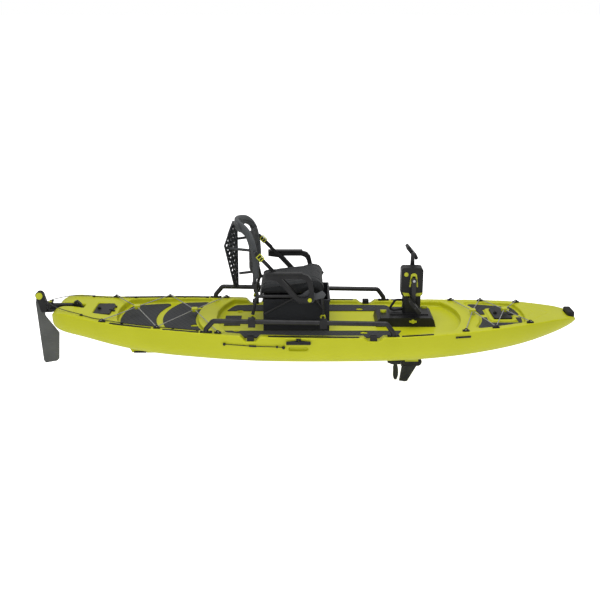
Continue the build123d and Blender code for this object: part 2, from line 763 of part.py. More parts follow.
@lru_cache
def seat_frame():
    """Welded tubes: two bent side hoops and their cross members."""
    hook_top = PEG_Z + PEG_R + 8
    side = tube([(PEG_X[0], -HOOK_Y, hook_top), (PAN_X[0], -HOOK_Y, PAN_Z), (PAN_X[1], -HOOK_Y, PAN_Z),
                 (PEG_X[1], -HOOK_Y, hook_top)], FRAME_R, [26, 26])
    brace = rod((95, -HOOK_Y, PAN_Z), (PEG_X[1], -HOOK_Y, hook_top + 26), FRAME_R - 2)
    strut = rod((-20, -HOOK_Y, PAN_Z), (-232, -HOOK_Y, hook_top + 2), 7)
    post = rod((PAN_X[0] + 8, -HOOK_Y, PAN_Z), (BACK_PIVOT[0], -HOOK_Y, BACK_PIVOT[1] + 18), FRAME_R)
    bolt = disc(ARM_PIVOT[0], ARM_PIVOT[1], -PLATE_Y[0], -HOOK_Y, 9)
    boss = disc(BACK_PIVOT[0], BACK_PIVOT[1], -HOOK_Y - 14, -HOOK_Y + 14, 15)
    bore = disc(BACK_PIVOT[0], BACK_PIVOT[1], -HOOK_Y - 30, -HOOK_Y + 30, BOLT_R)
    half = both((side + brace + strut + post + bolt + boss) - bore)
    cross = [rod((x, -HOOK_Y, PAN_Z), (x, HOOK_Y, PAN_Z), FRAME_R - 1) for x in (PAN_X[0] + 30, -70, 118)]
    frame = half[0] + half[1] + cross
    return frame - [disc(ARM_PIVOT[0], ARM_PIVOT[1], -400, 400, BOLT_R)]


def seat_hooks():
    """Open hooks that drop over the pegs."""
    hooks = []
    for x in PEG_X:
        ring = disc(x, PEG_Z, -HOOK_Y - 12, -HOOK_Y + 12, PEG_R + 8)
        ring -= disc(x, PEG_Z, -HOOK_Y - 20, -HOOK_Y + 20, PEG_R + FIT)
        ring -= box(x - PEG_R - FIT, x + PEG_R + FIT, -HOOK_Y - 20, -HOOK_Y + 20, PEG_Z - 40, PEG_Z)
        hooks += both(ring - seat_frame())
    return hooks


PLATE = [(-19, 471), (26, 505), (58, 528), (103, 498), (145, 518), (168, 491), (155, 471), (97, 457),
         (84, 437), (-6, 433)]


def side_plates():
    leaf = plate(PLATE, -PLATE_Y[1], -PLATE_Y[0])
    leaf -= disc(ARM_PIVOT[0], ARM_PIVOT[1], -400, 0, BOLT_R)
    return both(leaf)


def arm_bolts():
    """Shouldered bolts the armrests swing on, with a cap outside."""
    x, z = ARM_PIVOT
    shank = disc(x, z, -ARM_Y[1] - 2, -HOOK_Y + 10, BOLT_R)
    cap = disc(x, z, -ARM_Y[1] - 9, -ARM_Y[1] - 1, 13)
    spacer = disc(x, z, -ARM_Y[0] + 0.3, -PLATE_Y[1], 11)
    return both(shank + cap + spacer)


ARM_TOP = 640.0


def armrest():
    outer = [(-222, ARM_TOP), (18, ARM_TOP), (50, 630), (72, 604), (90, 530), (88, 462), (66, 446),
             (-4, 446), (-34, 470), (-150, 596), (-222, 606)]
    inner = [(-118, 608), (10, 608), (34, 598), (46, 580), (62, 516), (58, 492), (36, 478), (0, 478),
             (-14, 490)]
    arm = plate(outer, -ARM_Y[1], -ARM_Y[0]) - plate(inner, -ARM_Y[1] - 5, -ARM_Y[0] + 5)
    pad_top = box(-222, 16, -ARM_Y[1] - 6, -ARM_Y[0] + 6, ARM_TOP - 6, ARM_TOP + 8)
    arm += soften(pad_top, 4, pad_top.edges().filter_by(Axis.X))
    return arm - disc(ARM_PIVOT[0], ARM_PIVOT[1], -400, 0, BOLT_R + RUN)


def seat_cushion():
    foot = PAN_Z + FRAME_R - 1 + FIT
    profile = [(-262, foot), (-266, 524), (0, 556), (90, 575), (140, 568), (166, 532), (163, 500),
               (140, foot)]
    cushion = plate(profile, -216, 216)
    return cushion


BOX_WALL = 4.0
SEAT_BOX_TOP = 438.0


def seat_box():
    """Open crate under the seat, on the cockpit floor."""
    x0, x1 = SEAT_BASE[0] + 100, SEAT_BASE[1] - 8
    half = SEAT_BASE_HALF - 26
    crate = box(x0, x1, -half, half, COCKPIT_FLOOR, SEAT_BOX_TOP)
    crate -= box(x0 + BOX_WALL, x1 - BOX_WALL, -half + BOX_WALL, half - BOX_WALL,
                 COCKPIT_FLOOR + BOX_WALL, TOP)
    rim = box(x0 - 5, x1 + 5, -half - 5, half + 5, SEAT_BOX_TOP - 14, SEAT_BOX_TOP)
    return crate + (rim - box(x0, x1, -half, half, 0, TOP))


# ---- backrest ------------------------------------------------------------------------------
BACK_R = 13.0
BACK_Y = 205.0
CROWN = (-420.0, 932.0)


def back_arch():
    x, z = BACK_PIVOT
    port = [(x, BACK_Y, z - 4), (x + 8, BACK_Y + 3, 700), (-322, BACK_Y - 12, 850), (-392, 120, 922)]
    starboard = [(px, -py, pz) for px, py, pz in port]
    points = starboard + [(CROWN[0] - 6, 0, CROWN[1] + 4)] + port[::-1]
    return tube(points, BACK_R, [150, 80, 70, 150, 70, 80, 150])


@lru_cache
def backrest_frame():
    x, z = BACK_PIVOT
    hub = disc(x, z, -BACK_Y - 20, -BACK_Y + 14, 17)
    hubs = both(hub)
    cross = rod((x + 1, -BACK_Y, z + 26), (x + 1, BACK_Y, z + 26), 9)
    stays = []
    for side in (-1, 1):
        stays.append(rod((x + 6, side * BACK_Y, 768), (-470, side * 118, 764), 9))
    lower = rod((x + 1, 0, z + 26), (-408, 0, z + 12), 9)
    frame = back_arch() + hubs + cross + stays + lower
    return frame - disc(x, z, -300, 300, BOLT_R + RUN) - lattice_solid()


def back_bolts():
    x, z = BACK_PIVOT
    shank = disc(x, z, -HOOK_Y - 16, -BACK_Y + 16, BOLT_R)
    knob = disc(x, z, -HOOK_Y - 30, -HOOK_Y - 14, 16)
    return both(shank + knob)


LATTICE = [(0, 470), (52, 470), (178, 790), (78, 905), (0, 905)]
LATTICE_THICK = 8.0
LATTICE_FOLD = 28.0              # how far each wing sweeps back


def lattice_wing(thick, grid=True):
    face = make_face(Polyline(*LATTICE, close=True))
    wing = extrude(face, amount=thick)
    if grid:
        inner = extrude(offset(face, -14), amount=thick)
        pitch = 34.0
        cell = Rot(0, 0, 45) * Box(pitch * 0.62, pitch * 0.62, 4 * thick)
        cells = []
        for i in range(7):
            for j in range(15):
                shift = pitch / 2 if j % 2 else 0
                cells.append(Pos(8 + i * pitch + shift, 480 + j * pitch * 0.9, 0) * cell)
        wing -= [cut & inner for cut in cells]
    return wing


def lattice_solid(grid=False):
    """A V-shaped panel: two wings that sweep back from the centre line."""
    lean = Plane(origin=(-412, 0, 0), x_dir=(-math.sin(math.radians(LATTICE_FOLD)), -1, 0),
                 z_dir=(-1, math.sin(math.radians(LATTICE_FOLD)), 0))
    wing = lean * lattice_wing(LATTICE_THICK, grid)
    pair = both(wing)
    return pair[0] + pair[1]


def crescent(half, depth, base_x, thick, z0, z1):
    """A curved upright band, open towards the bow."""
    outer = ThreePointArc((base_x, -half), (base_x - depth, 0), (base_x, half))
    inner = ThreePointArc((base_x + thick, -half), (base_x - depth + thick, 0), (base_x + thick, half))
    face = make_face([outer, inner, Line(outer @ 0, inner @ 0), Line(outer @ 1, inner @ 1)])
    return extrude(Pos(0, 0, z0) * face, amount=z1 - z0)


def back_band():
    return crescent(184, 108, CROWN[0] + 120, 12, CROWN[1] - 80, CROWN[1] + 12) - backrest_frame()


def back_fabric():
    sling = crescent(BACK_Y - 5, 42, BACK_PIVOT[0] + 4, 8, BACK_PIVOT[1] + 44, CROWN[1] - 84)
    return sling - backrest_frame()


STRAP_Y = 252.0
STRAP_TOP, STRAP_FOOT = (-290.0, 758.0), (-28.0, 486.0)
STRAP_PIN_R = 7.0


def back_strap():
    """Webbing from the back's shoulder to the side plate."""
    a, b = (Vector(x, -STRAP_Y, z) for x, z in (STRAP_TOP, STRAP_FOOT))
    webbing = bar(a, b, 3, 24)
    return webbing - disc(-20, 471, -300, 0, 10)


def strap_buckle():
    a, b = Vector(-262, -STRAP_Y, 729), Vector(-232, -STRAP_Y, 698)
    block = bar(a, b, 9, 32)
    return block - back_strap()


def strap_anchors():
    """Pins that hold the webbing: on the back's shoulders and on the seat's frame."""
    x, z = STRAP_TOP
    along = Vector(STRAP_FOOT[0] - x, 0, STRAP_FOOT[1] - z).normalized() * (STRAP_PIN_R + 0.2)
    x, z = x - along.X, z - along.Z
    return both(rod((x, -STRAP_Y - 13, z), (x, -BACK_Y + 4, z), STRAP_PIN_R) - backrest_frame())


# ---- pedal drive ---------------------------------------------------------------------------
TOWER = (694.0, 812.0)
TOWER_HALF = 46.0
TOWER_TOP = 412.0
CASE = (677.0, 823.0)
CASE_Z = (TOWER_TOP, 608.0)
CASE_HALF = 44.0
CASE_WALL = 4.0
AXLE_R = 9.0
ARM_OUT = (58.0, 71.0)           # crank arm, inner and outer face
PEDAL_Y = (84.0, 178.0)
PEDAL_AXLE_R = 7.0
PEDAL = (106.0, 24.0)
PEDAL_TILT = 50.0
SHAFT_R = 6.0
POD_R, POD_BORE = 30.0, 25.0
LEG = (708.0, 800.0)
LEG_HALF = 24.0


def drive_dock():
    x0, x1 = DOCK
    profile = [(x0, COCKPIT_FLOOR), (x0 + 12, DOCK_TOP - 16), (x0 + 30, DOCK_TOP), (x1 - 30, DOCK_TOP),
               (x1 - 12, DOCK_TOP - 16), (x1, COCKPIT_FLOOR)]
    dock = plate(profile, -DOCK_HALF, DOCK_HALF)
    dock = soften(dock, 10, dock.edges().filter_by(Axis.Y).group_by(Axis.Z)[-1])
    hollow = box(x0 + 60, x1 - 60, -DOCK_HALF + 14, -SLOT_HALF - 10, COCKPIT_FLOOR, DOCK_TOP - 14)
    dock -= both(hollow)
    dock -= box(SLOT[0], SLOT[1], -SLOT_HALF, SLOT_HALF, 0, TOP)
    for x, y in ((DOCK_KNOBS[0]), (DOCK_KNOBS[1])):
        dock -= Pos(x, y, DOCK_TOP) * Cylinder(5 + RUN, 40)
    return dock - disc(WING_KNOB[0], WING_KNOB[1], -DOCK_HALF - 5, -DOCK_HALF + 14, 5 + RUN)


DOCK_KNOBS = ((566.0, 0.0), (852.0, 84.0))
WING_KNOB = (754.0, 262.0)


def dock_knob(x, y):
    """A quarter-turn clamp knob on the dock."""
    top = DOCK_TOP + LID_GAP
    head = Pos(x, y, top + 6) * Cylinder(15, 12) + box(x - 20, x + 20, y - 5, y + 5, top + 2, top + 18)
    return head + Pos(x, y, top - 8) * Cylinder(5, 20)


def wing_knob():
    x, z = WING_KNOB
    face = -DOCK_HALF - LID_GAP
    head = disc(x, z, face - 12, face, 13) + box(x - 24, x + 24, face - 12, face - 2, z - 6, z + 6)
    return head + disc(x, z, face - 2, face + 13, 5)


def drive_plate():
    """Flange that closes the hull's slot and carries the tower."""
    flange = box(SLOT[0] - 12, SLOT[1] + 12, -SLOT_HALF - 12, SLOT_HALF + 12, DOCK_TOP, DOCK_TOP + 7)
    plug = box(SLOT[0] + 2, SLOT[1] - 2, -SLOT_HALF + 2, SLOT_HALF - 2, DOCK_TOP - 20, DOCK_TOP)
    return flange + plug - box(LEG[0], LEG[1], -LEG_HALF, LEG_HALF, 0, TOP)


def tower():
    outer = box(TOWER[0], TOWER[1], -TOWER_HALF, TOWER_HALF, DOCK_TOP + 7, TOWER_TOP)
    outer = soften(outer, 14, outer.edges().filter_by(Axis.Z))
    inner = box(TOWER[0] + 8, TOWER[1] - 8, -TOWER_HALF + 8, TOWER_HALF - 8, 0, TOWER_TOP - 10)
    neck = Pos(DRIVE_X, 0, TOWER_TOP) * Cylinder(26, 60)
    return outer - inner - neck


def carry_loop():
    z0 = DOCK_TOP + 7 + 9
    points = [(TOWER[0], 0, 374), (646, 0, 374), (604, 0, 308), (640, 0, z0 + 2), (TOWER[0], 0, z0 + 8)]
    loop = tube(points, 8, [16, 14, 12])
    return loop - box(TOWER[0], TOWER[1], -TOWER_HALF, TOWER_HALF, 0, TOP)


def gearbox_solid(grow=0.0):
    case = box(CASE[0] - grow, CASE[1] + grow, -CASE_HALF - grow, CASE_HALF + grow, CASE_Z[0] - grow,
               CASE_Z[1] + grow)
    return soften(case, 22 + grow, case.edges().filter_by(Axis.Y))


def gearbox():
    case = gearbox_solid()
    case -= gearbox_solid(-CASE_WALL)
    case -= disc(DRIVE_X, CRANK_Z, -80, 80, BEARING_R)
    case -= Pos(DRIVE_X, 0, CASE_Z[0]) * Cylinder(BEARING_R, 40)
    half = box(0, 2000, -100, 0, 0, 1000)
    starboard = case & half
    return starboard, mirror(starboard, about=Plane.XZ)


BEARING_R = 15.0


def ring_bearing(y, direction):
    centre = (DRIVE_X, y, CRANK_Z)
    width = 8.0
    a = Vector(*centre)
    b = a + Vector(0, direction * width, 0)
    return rod(a, b, BEARING_R) - rod(a - Vector(0, 20, 0), b + Vector(0, 20, 0), AXLE_R + RUN)


def crank_bearings():
    pair = both(ring_bearing(-CASE_HALF, 1))
    z = CASE_Z[0] - 2
    lower = Pos(DRIVE_X, 0, z + 4) * Cylinder(BEARING_R, 8) - Pos(DRIVE_X, 0, z) * Cylinder(SHAFT_R + RUN, 60)
    return [*pair, lower]


def crank_axle():
    return disc(DRIVE_X, CRANK_Z, -ARM_OUT[1], ARM_OUT[1], AXLE_R)


def crank_arm(direction):
    """A tapered arm; direction is -1 for the arm that hangs, 1 for the arm that stands."""
    y0, y1 = ARM_OUT
    end = CRANK_Z + direction * CRANK_LENGTH
    arm = disc(DRIVE_X, CRANK_Z, -y1, -y0, 19) + disc(DRIVE_X, end, -y1, -y0, 14)
    web = plate([(DRIVE_X - 16, CRANK_Z), (DRIVE_X + 16, CRANK_Z), (DRIVE_X + 12, end), (DRIVE_X - 12, end)],
                -y1, -y0)
    arm = arm + web
    arm -= disc(DRIVE_X, CRANK_Z, -90, 0, AXLE_R)
    return arm - disc(DRIVE_X, end, -90, 0, PEDAL_AXLE_R)


def pedal_axle(direction):
    end = CRANK_Z + direction * CRANK_LENGTH
    return disc(DRIVE_X, end, -PEDAL_Y[1] - 3, -ARM_OUT[0], PEDAL_AXLE_R)


def pedal(direction):
    end = CRANK_Z + direction * CRANK_LENGTH
    length, thick = PEDAL
    y0, y1 = PEDAL_Y
    body_box = Box(length, y1 - y0, thick)
    body_box = soften(body_box, 8, body_box.edges().filter_by(Axis.Y))
    windows = [Pos(side * length * 0.27, 0, 0) * Box(length * 0.26, (y1 - y0) * 0.66, thick * 2)
               for side in (-1, 1)]
    shell = body_box - windows
    shell = Pos(DRIVE_X, -(y0 + y1) / 2, end) * Rot(0, PEDAL_TILT, 0) * shell
    return shell - disc(DRIVE_X, end, -y1 - 10, -y0 + 10, PEDAL_AXLE_R + RUN)


def bevel(teeth, small, large, width, depth):
    """A bevel gear on the Z axis, its large end at z = 0 and its small end at z = width."""
    gear = Pos(0, 0, width / 2) * Cone(large, small, width)
    lean = math.degrees(math.atan2(large - small, width))
    gap = 2 * math.pi * large / teeth / 2
    cuts = []
    for k in range(teeth):
        cut = Pos((large + small) / 2, 0, width / 2) * Rot(0, -lean, 0) * Box(depth * 2, gap * 0.8, width * 3)
        cuts.append(Rot(0, 0, 360 * k / teeth) * cut)
    return gear - cuts


CRANK_TEETH, SHAFT_TEETH = 36, 12
TAIL_TEETH, PROP_TEETH = 24, 12
MESH_GAP = 0.7


def cone_sizes(driver, driven, near, far):
    """Radii and distances from the shared apex of a pair of bevel gears."""
    angle = math.atan2(driver, driven)
    sizes = {}
    sizes["driver"] = (near * math.sin(angle), far * math.sin(angle), near * math.cos(angle), far * math.cos(angle))
    sizes["driven"] = (near * math.cos(angle), far * math.cos(angle), near * math.sin(angle), far * math.sin(angle))
    return sizes


UPPER = cone_sizes(CRANK_TEETH, SHAFT_TEETH, 25.0, 37.0)
LOWER = cone_sizes(TAIL_TEETH, PROP_TEETH, 15.0, 24.0)


def crank_gear():
    small, large, near, far = UPPER["driver"]
    gear = bevel(CRANK_TEETH, small, large, far - near, 2.0)
    gear += Pos(0, 0, -8) * Cylinder(16, 16)
    placed = Plane(origin=(DRIVE_X, far + MESH_GAP, CRANK_Z), z_dir=(0, -1, 0)) * gear
    return placed - crank_axle()


def shaft_gears():
    small, large, near, far = UPPER["driven"]
    upper = Pos(DRIVE_X, 0, CRANK_Z - far - MESH_GAP) * bevel(SHAFT_TEETH, small, large, far - near, 1.6)
    small, large, near, far = LOWER["driver"]
    lower = bevel(TAIL_TEETH, small, large, far - near, 1.6) + Pos(0, 0, -3) * Cylinder(11, 6)
    lower = Plane(origin=(DRIVE_X, 0, PROP_Z + far + MESH_GAP), z_dir=(0, 0, -1)) * lower
    shaft = drive_shaft()
    return [upper - shaft, lower - shaft]


def drive_shaft():
    top = CRANK_Z - UPPER["driven"][2] - MESH_GAP - 1
    foot = PROP_Z + LOWER["driver"][2] + MESH_GAP + 1
    return rod((DRIVE_X, 0, foot), (DRIVE_X, 0, top), SHAFT_R)


def prop_shaft():
    near = LOWER["driven"][2]
    return rod((PROP_X - 34, 0, PROP_Z), (DRIVE_X - near - MESH_GAP - 1, 0, PROP_Z), SHAFT_R - 1)


def prop_gear():
    small, large, near, far = LOWER["driven"]
    gear = bevel(PROP_TEETH, small, large, far - near, 1.4)
    placed = Plane(origin=(DRIVE_X - far - MESH_GAP, 0, PROP_Z), z_dir=(1, 0, 0)) * gear
    return placed - prop_shaft()


POD = (698.0, 812.0)
LEG_TOP = DOCK_TOP + 60.0


def lower_casing():
    """Strut and gear pod below the hull, in one casting with a bore for the shafts."""
    strut = box(LEG[0], LEG[1], -LEG_HALF, LEG_HALF, PROP_Z, LEG_TOP)
    strut = soften(strut, 18, strut.edges().filter_by(Axis.Z))
    pod = rod((POD[0], 0, PROP_Z), (POD[1], 0, PROP_Z), POD_R)
    nose = Pos(POD[1], 0, PROP_Z) * Sphere(POD_R)
    casing = strut + pod + (nose & box(POD[1], POD[1] + 60, -50, 50, PROP_Z - 50, PROP_Z + 50))
    casing -= rod((POD[0] + 8, 0, PROP_Z), (POD[1], 0, PROP_Z), POD_BORE)
    casing -= rod((POD[0] - 5, 0, PROP_Z), (POD[0] + 20, 0, PROP_Z), SHAFT_R - 1 + RUN)
    casing -= Pos(DRIVE_X, 0, LEG_TOP / 2 + PROP_Z / 2) * Cylinder(14, LEG_TOP - PROP_Z + 4)
    return casing - Pos(DRIVE_X, 0, PROP_Z + 40) * Cylinder(POD_BORE - 2, 60)


def leg_trim():
    """Coloured cheek covers on the lower casing."""
    cheek = box(LEG[0] + 14, LEG[1] + 12, -LEG_HALF - 12, -LEG_HALF, -60, -36)
    return both(cheek - lower_casing())


def skeg_fin():
    top = PROP_Z - POD_R + 2
    profile = [(704, top), (806, top), (744, -217), (728, -220), (688, -214)]
    return plate(profile, -5, 5) - lower_casing()


def blade():
    rows = [(14, 30, 58), (55, 44, 40), (100, 38, 30), (PROP_R - 2, 16, 26)]
    faces = []
    for radius, chord, pitch in rows:
        half, thick = chord / 2, 3.2 - radius / 80
        outline = Spline((-half, 0), (0, thick), (half, 0), (0, -thick), periodic=True)
        faces.append(Pos(PROP_X, 0, PROP_Z + radius) * Rot(0, 0, pitch) * make_face(outline))
    return loft(faces)


def propeller():
    hub = rod((PROP_X - 26, 0, PROP_Z), (POD[0] - 4, 0, PROP_Z), 19)
    hub += rod((PROP_X - 58, 0, PROP_Z), (PROP_X - 26, 0, PROP_Z), 6, 19)
    lower = Pos(0, 0, 2 * PROP_Z) * mirror(blade(), about=Plane.XY)
    lower = mirror(lower, about=Plane.XZ)
    return hub + blade() + lower - prop_shaft()


def gearbox_trims():
    """Raised inlays round the crank, and the lower corners of the gearbox."""
    y = -CASE_HALF
    outer = plate([(DRIVE_X - 30, 478), (DRIVE_X - 20, 478), (DRIVE_X - 10, 552), (DRIVE_X + 10, 552),
                   (DRIVE_X + 20, 478), (DRIVE_X + 30, 478), (DRIVE_X + 20, 562), (DRIVE_X + 8, 572),
                   (DRIVE_X - 8, 572), (DRIVE_X - 20, 562)], y - 4, y)
    outer -= disc(DRIVE_X, CRANK_Z, -90, 0, BEARING_R + 5)
    corner = plate([(CASE[0] + 22, CASE_Z[0] + 2), (DRIVE_X - 22, CASE_Z[0] + 2),
                    (DRIVE_X - 30, CASE_Z[0] + 22), (CASE[0] + 10, CASE_Z[0] + 26)], y - 3, y)
    twin = mirror(corner, about=Plane(origin=(DRIVE_X - 5, 0, 0), z_dir=(1, 0, 0)))
    cap = disc(CASE[0] + 32, CASE_Z[1] - 44, y - 5, y, 14)
    return [shape for part in (outer, corner, twin, cap) for shape in both(part)]


# ---- rudder --------------------------------------------------------------------------------
STEER_PIN_R = 7.0
HEAD_HALF = 20.0
BLADE_HALF = 5.0
CHEEK_GAP = 1.0


def rudder_mount():
    """Bracket bolted in the stern's groove, with the steering tube at its end."""
    x_front = GROOVE_FRONT - 14
    arm = box(STEER_X, x_front, -GROOVE_HALF + 4, GROOVE_HALF - 4, MOUNT_SEAT, MOUNT_SEAT + 20)
    lug = plate([(x_front - 70, MOUNT_SEAT + 19), (x_front, MOUNT_SEAT + 19), (x_front - 8, MOUNT_SEAT + 46),
                 (x_front - 34, MOUNT_SEAT + 70), (x_front - 54, MOUNT_SEAT + 62)], -14, 14)
    lug -= disc(x_front - 34, MOUNT_SEAT + 52, -40, 40, 6)
    spine = box(STEER_X, x_front - 66, -18, 18, MOUNT_SEAT + 19, MOUNT_SEAT + 46)
    hub = Pos(STEER_X, 0, MOUNT_SEAT + 25) * Cylinder(22, 50)
    return arm + lug + spine + hub - Pos(STEER_X, 0, MOUNT_SEAT) * Cylinder(STEER_PIN_R + RUN, 200)


HUB_Z = (MOUNT_SEAT, MOUNT_SEAT + 50.0)


def rudder_head():
    z0, z1 = HUB_Z[0] - LID_GAP - 9, HUB_Z[1] + LID_GAP + 9
    pin_x, pin_z = RUDDER_PIN
    yoke = []
    for low, high in ((z0, z0 + 9), (z1 - 9, z1)):
        yoke.append(Pos(STEER_X, 0, (low + high) / 2) * Cylinder(20, 9))
        yoke.append(box(STEER_X - 44, STEER_X, -20, 20, low, high))
    web = box(STEER_X - 44, STEER_X - 24, -HEAD_HALF, HEAD_HALF, z0, z1)
    cheeks = plate([(STEER_X - 24, z0), (STEER_X - 24, z1), (STEER_X - 40, pin_z + 12), (pin_x, pin_z + 26),
                    (pin_x - 26, pin_z), (STEER_X - 60, z0)], -HEAD_HALF, HEAD_HALF)
    cheeks += disc(pin_x, pin_z, -HEAD_HALF, HEAD_HALF, 28)
    head = web + cheeks + yoke
    gap = BLADE_HALF + CHEEK_GAP
    head -= box(pin_x - 80, STEER_X - 34, -gap, gap, z0 - 20, pin_z + 80)
    head -= disc(pin_x, pin_z, -60, 60, STEER_PIN_R - 1)
    ears = [box(STEER_X - 14, STEER_X + 14, side * 32 - 14, side * 32 + 14, z1 - 9, z1) for side in (-1, 1)]
    holes = [Pos(STEER_X, side * 38, z1) * Cylinder(3, 60) for side in (-1, 1)]
    return (head + ears) - holes - Pos(STEER_X, 0, z0) * Cylinder(STEER_PIN_R, 200)


def steering_pin():
    z0, z1 = HUB_Z[0] - LID_GAP - 12, HUB_Z[1] + LID_GAP + 12
    pin = Pos(STEER_X, 0, (z0 + z1) / 2) * Cylinder(STEER_PIN_R, z1 - z0)
    return pin + Pos(STEER_X, 0, z1 - 0.5) * Cylinder(11, 5)


def rudder_blade():
    pin_x, pin_z = RUDDER_PIN
    outline = [(pin_x - 24, pin_z - 10), (pin_x - 32, 352), (-1768, -62), (-1756, -80), (-1676, -66),
               (-1661, -50), (-1646, 139), (STEER_X - 40, 262), (pin_x + 24, pin_z - 14)]
    leaf = plate(outline, -BLADE_HALF, BLADE_HALF) + disc(pin_x, pin_z, -BLADE_HALF, BLADE_HALF, 24)
    return leaf - disc(pin_x, pin_z, -30, 30, STEER_PIN_R - 1 + RUN)


def rudder_caps():
    """The kick-up pin with its two broad caps."""
    x, z = RUDDER_PIN
    pin = disc(x, z, -HEAD_HALF - 8, HEAD_HALF + 8, STEER_PIN_R - 1)
    caps = both(disc(x, z, -HEAD_HALF - 9, -HEAD_HALF, 23))
    return pin + caps


def line_point(x):
    return Vector(x, -(half_beam(x) - 48), sheer(x) + LINE_R + 1.2)


LINE_R = 2.5
LINE_X = (-1440.0, -1360.0, -1160.0, -980.0, -820.0, -662.0)


def steering_lines():
    """Cables clipped along the gunwales, from the aft guide to the fairlead by the rail."""
    points = [line_point(x) for x in LINE_X]
    path = tube(points, LINE_R, [200, 200, 200, 200])
    return both(path)


def rudder_lines():
    """The free ends between the head's ears and the aft guides."""
    start = Vector(STEER_X, -38, HUB_Z[1] + LID_GAP + 12)
    stop = line_point(LINE_X[0])
    middle = Vector(-1590, -150, 358)
    line = tube([start, middle, stop], LINE_R, [180])
    return both(line - guide(LINE_X[0]))


def guide(x):
    point = line_point(x)
    return box(x - 9, x + 9, point.Y - 7, point.Y + 7, sheer(x) - 1, point.Z + 6)


def line_guides():
    guides = []
    line = steering_lines()[0]
    hull_body = body(-FIT)
    for x in (LINE_X[0], LINE_X[2], LINE_X[4], LINE_X[5]):
        guides += both(guide(x) - line - hull_body)
    return guides


LEVER_X = 60.0


def lever_bracket():
    z = rail_z(LEVER_X)
    block = box(LEVER_X - 22, LEVER_X + 22, RAIL_Y - 44, RAIL_Y + 22, z - 22, z + 22)
    block -= rod((-RAIL_END, RAIL_Y, RAIL_Z[0]), (RAIL_END, RAIL_Y, RAIL_Z[1]), RAIL_R + RUN)
    return block - Pos(LEVER_X, RAIL_Y - 32, z) * Cylinder(5, 80)


def lever_pin():
    z = rail_z(LEVER_X)
    return Pos(LEVER_X, RAIL_Y - 32, z + 5) * Cylinder(5, 50)


def steering_lever():
    z = rail_z(LEVER_X) + 22 + LID_GAP
    y = RAIL_Y - 32
    hub = Pos(LEVER_X, y, z + 5) * Cylinder(13, 10)
    arm = box(LEVER_X, LEVER_X + 70, y - 6, y + 6, z, z + 9)
    grip = Pos(LEVER_X + 66, y, z + 24) * Cylinder(10, 36)
    return hub + arm + grip - Pos(LEVER_X, y, z) * Cylinder(5 + RUN, 80)


# ---- everything ----------------------------------------------------------------------------
def build():
    keeper = paddle_keeper()
    starboard_case, port_case = gearbox()
    shaft_wheels = shaft_gears()
    return {
        "hull": hull,
        "hull_trims": lambda: [keel_skid(), *gunwale_clips(), *side_vents()],
        "deck_pads": deck_pads,
        "gear_tracks": gear_tracks,
        "padeyes": padeyes,
        "bungee_hubs": bungee_hubs,
        "bungee_cords": lambda: bungee((0, 1, 2, 3)),
        "bow_handle": bow_handle,
        "handle_eyelets": lambda: both(handle_eyelet()),
        "handle_starboard": lambda: [handle_grip(), handle_cord()],
        "handle_port": lambda: [both(handle_grip())[1], both(handle_cord())[1]],
        "paddle_keeper": lambda: [solid for group in keeper.values() for solid in group],
        "stern_hatch_lid": lambda: hatch_lid(HATCH_STERN, STERN_LEDGE),
        "bow_hatch_lid": lambda: hatch_lid(HATCH_BOW, RING_TOP - 8),
        "hatch_seals": lambda: [hatch_seal(HATCH_STERN, STERN_LEDGE), hatch_seal(HATCH_BOW, RING_TOP - 8)],
        "hatch_hinges": hatch_hinges,
        "stern_latch": lambda: hatch_latch(HATCH_STERN, STERN_LEDGE),
        "bow_latch": lambda: hatch_latch(HATCH_BOW, RING_TOP - 8),
        "side_rails": lambda: both(rail()),
        "rail_fittings": lambda: [*rail_feet(), *rail_bolts(), *rail_clamps(), *seat_pegs()],
        "seat_frame": seat_frame,
        "seat_hooks": seat_hooks,
        "side_plates": side_plates,
        "seat_bolts": lambda: [*arm_bolts(), *back_bolts()],
        "armrest_starboard": armrest,
        "armrest_port": lambda: both(armrest())[1:],
        "seat_cushion": seat_cushion,
        "seat_box": seat_box,
        "backrest_frame": lambda: [backrest_frame(), *strap_anchors()],
        "lattice_panel": lambda: lattice_solid(True),
        "back_band": back_band,
        "back_fabric": back_fabric,
        "back_straps": lambda: both(back_strap()),
        "strap_buckles": lambda: both(strap_buckle()),
        "drive_dock": drive_dock,
        "drive_tower": lambda: [tower(), drive_plate(), carry_loop()],
        "gearbox_starboard": lambda: starboard_case,
        "gearbox_port": lambda: port_case,
        "drive_trims": lambda: [*gearbox_trims(), *leg_trim()],
        "bearings": crank_bearings,
        "crank_axle": lambda: [crank_axle(), crank_gear()],
        "crank_arms": lambda: [crank_arm(-1), mirror(crank_arm(1), about=Plane.XZ), pedal_axle(-1),
                               mirror(pedal_axle(1), about=Plane.XZ)],
        "pedal_starboard": lambda: pedal(-1),
        "pedal_port": lambda: mirror(pedal(1), about=Plane.XZ),
        "drive_shaft": lambda: [drive_shaft(), *shaft_wheels],
        "prop_shaft": lambda: [prop_shaft(), prop_gear()],
        "propeller": propeller,
        "lower_casing": lower_casing,
        "skeg_fin": skeg_fin,
        "dock_knob_rear": lambda: dock_knob(*DOCK_KNOBS[0]),
        "dock_knob_front": lambda: dock_knob(*DOCK_KNOBS[1]),
        "wing_knob": wing_knob,
        "rudder_mount": rudder_mount,
        "rudder_head": rudder_head,
        "rudder_blade": rudder_blade,
        "rudder_pins": lambda: [steering_pin(), rudder_caps()],
        "steering_lines": steering_lines,
        "rudder_lines": rudder_lines,
        "steering_guides": lambda: [*line_guides(), lever_bracket(), lever_pin()],
        "steering_lever": steering_lever,
    }


for name, make in build().items():
    save(name, make())
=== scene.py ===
import math

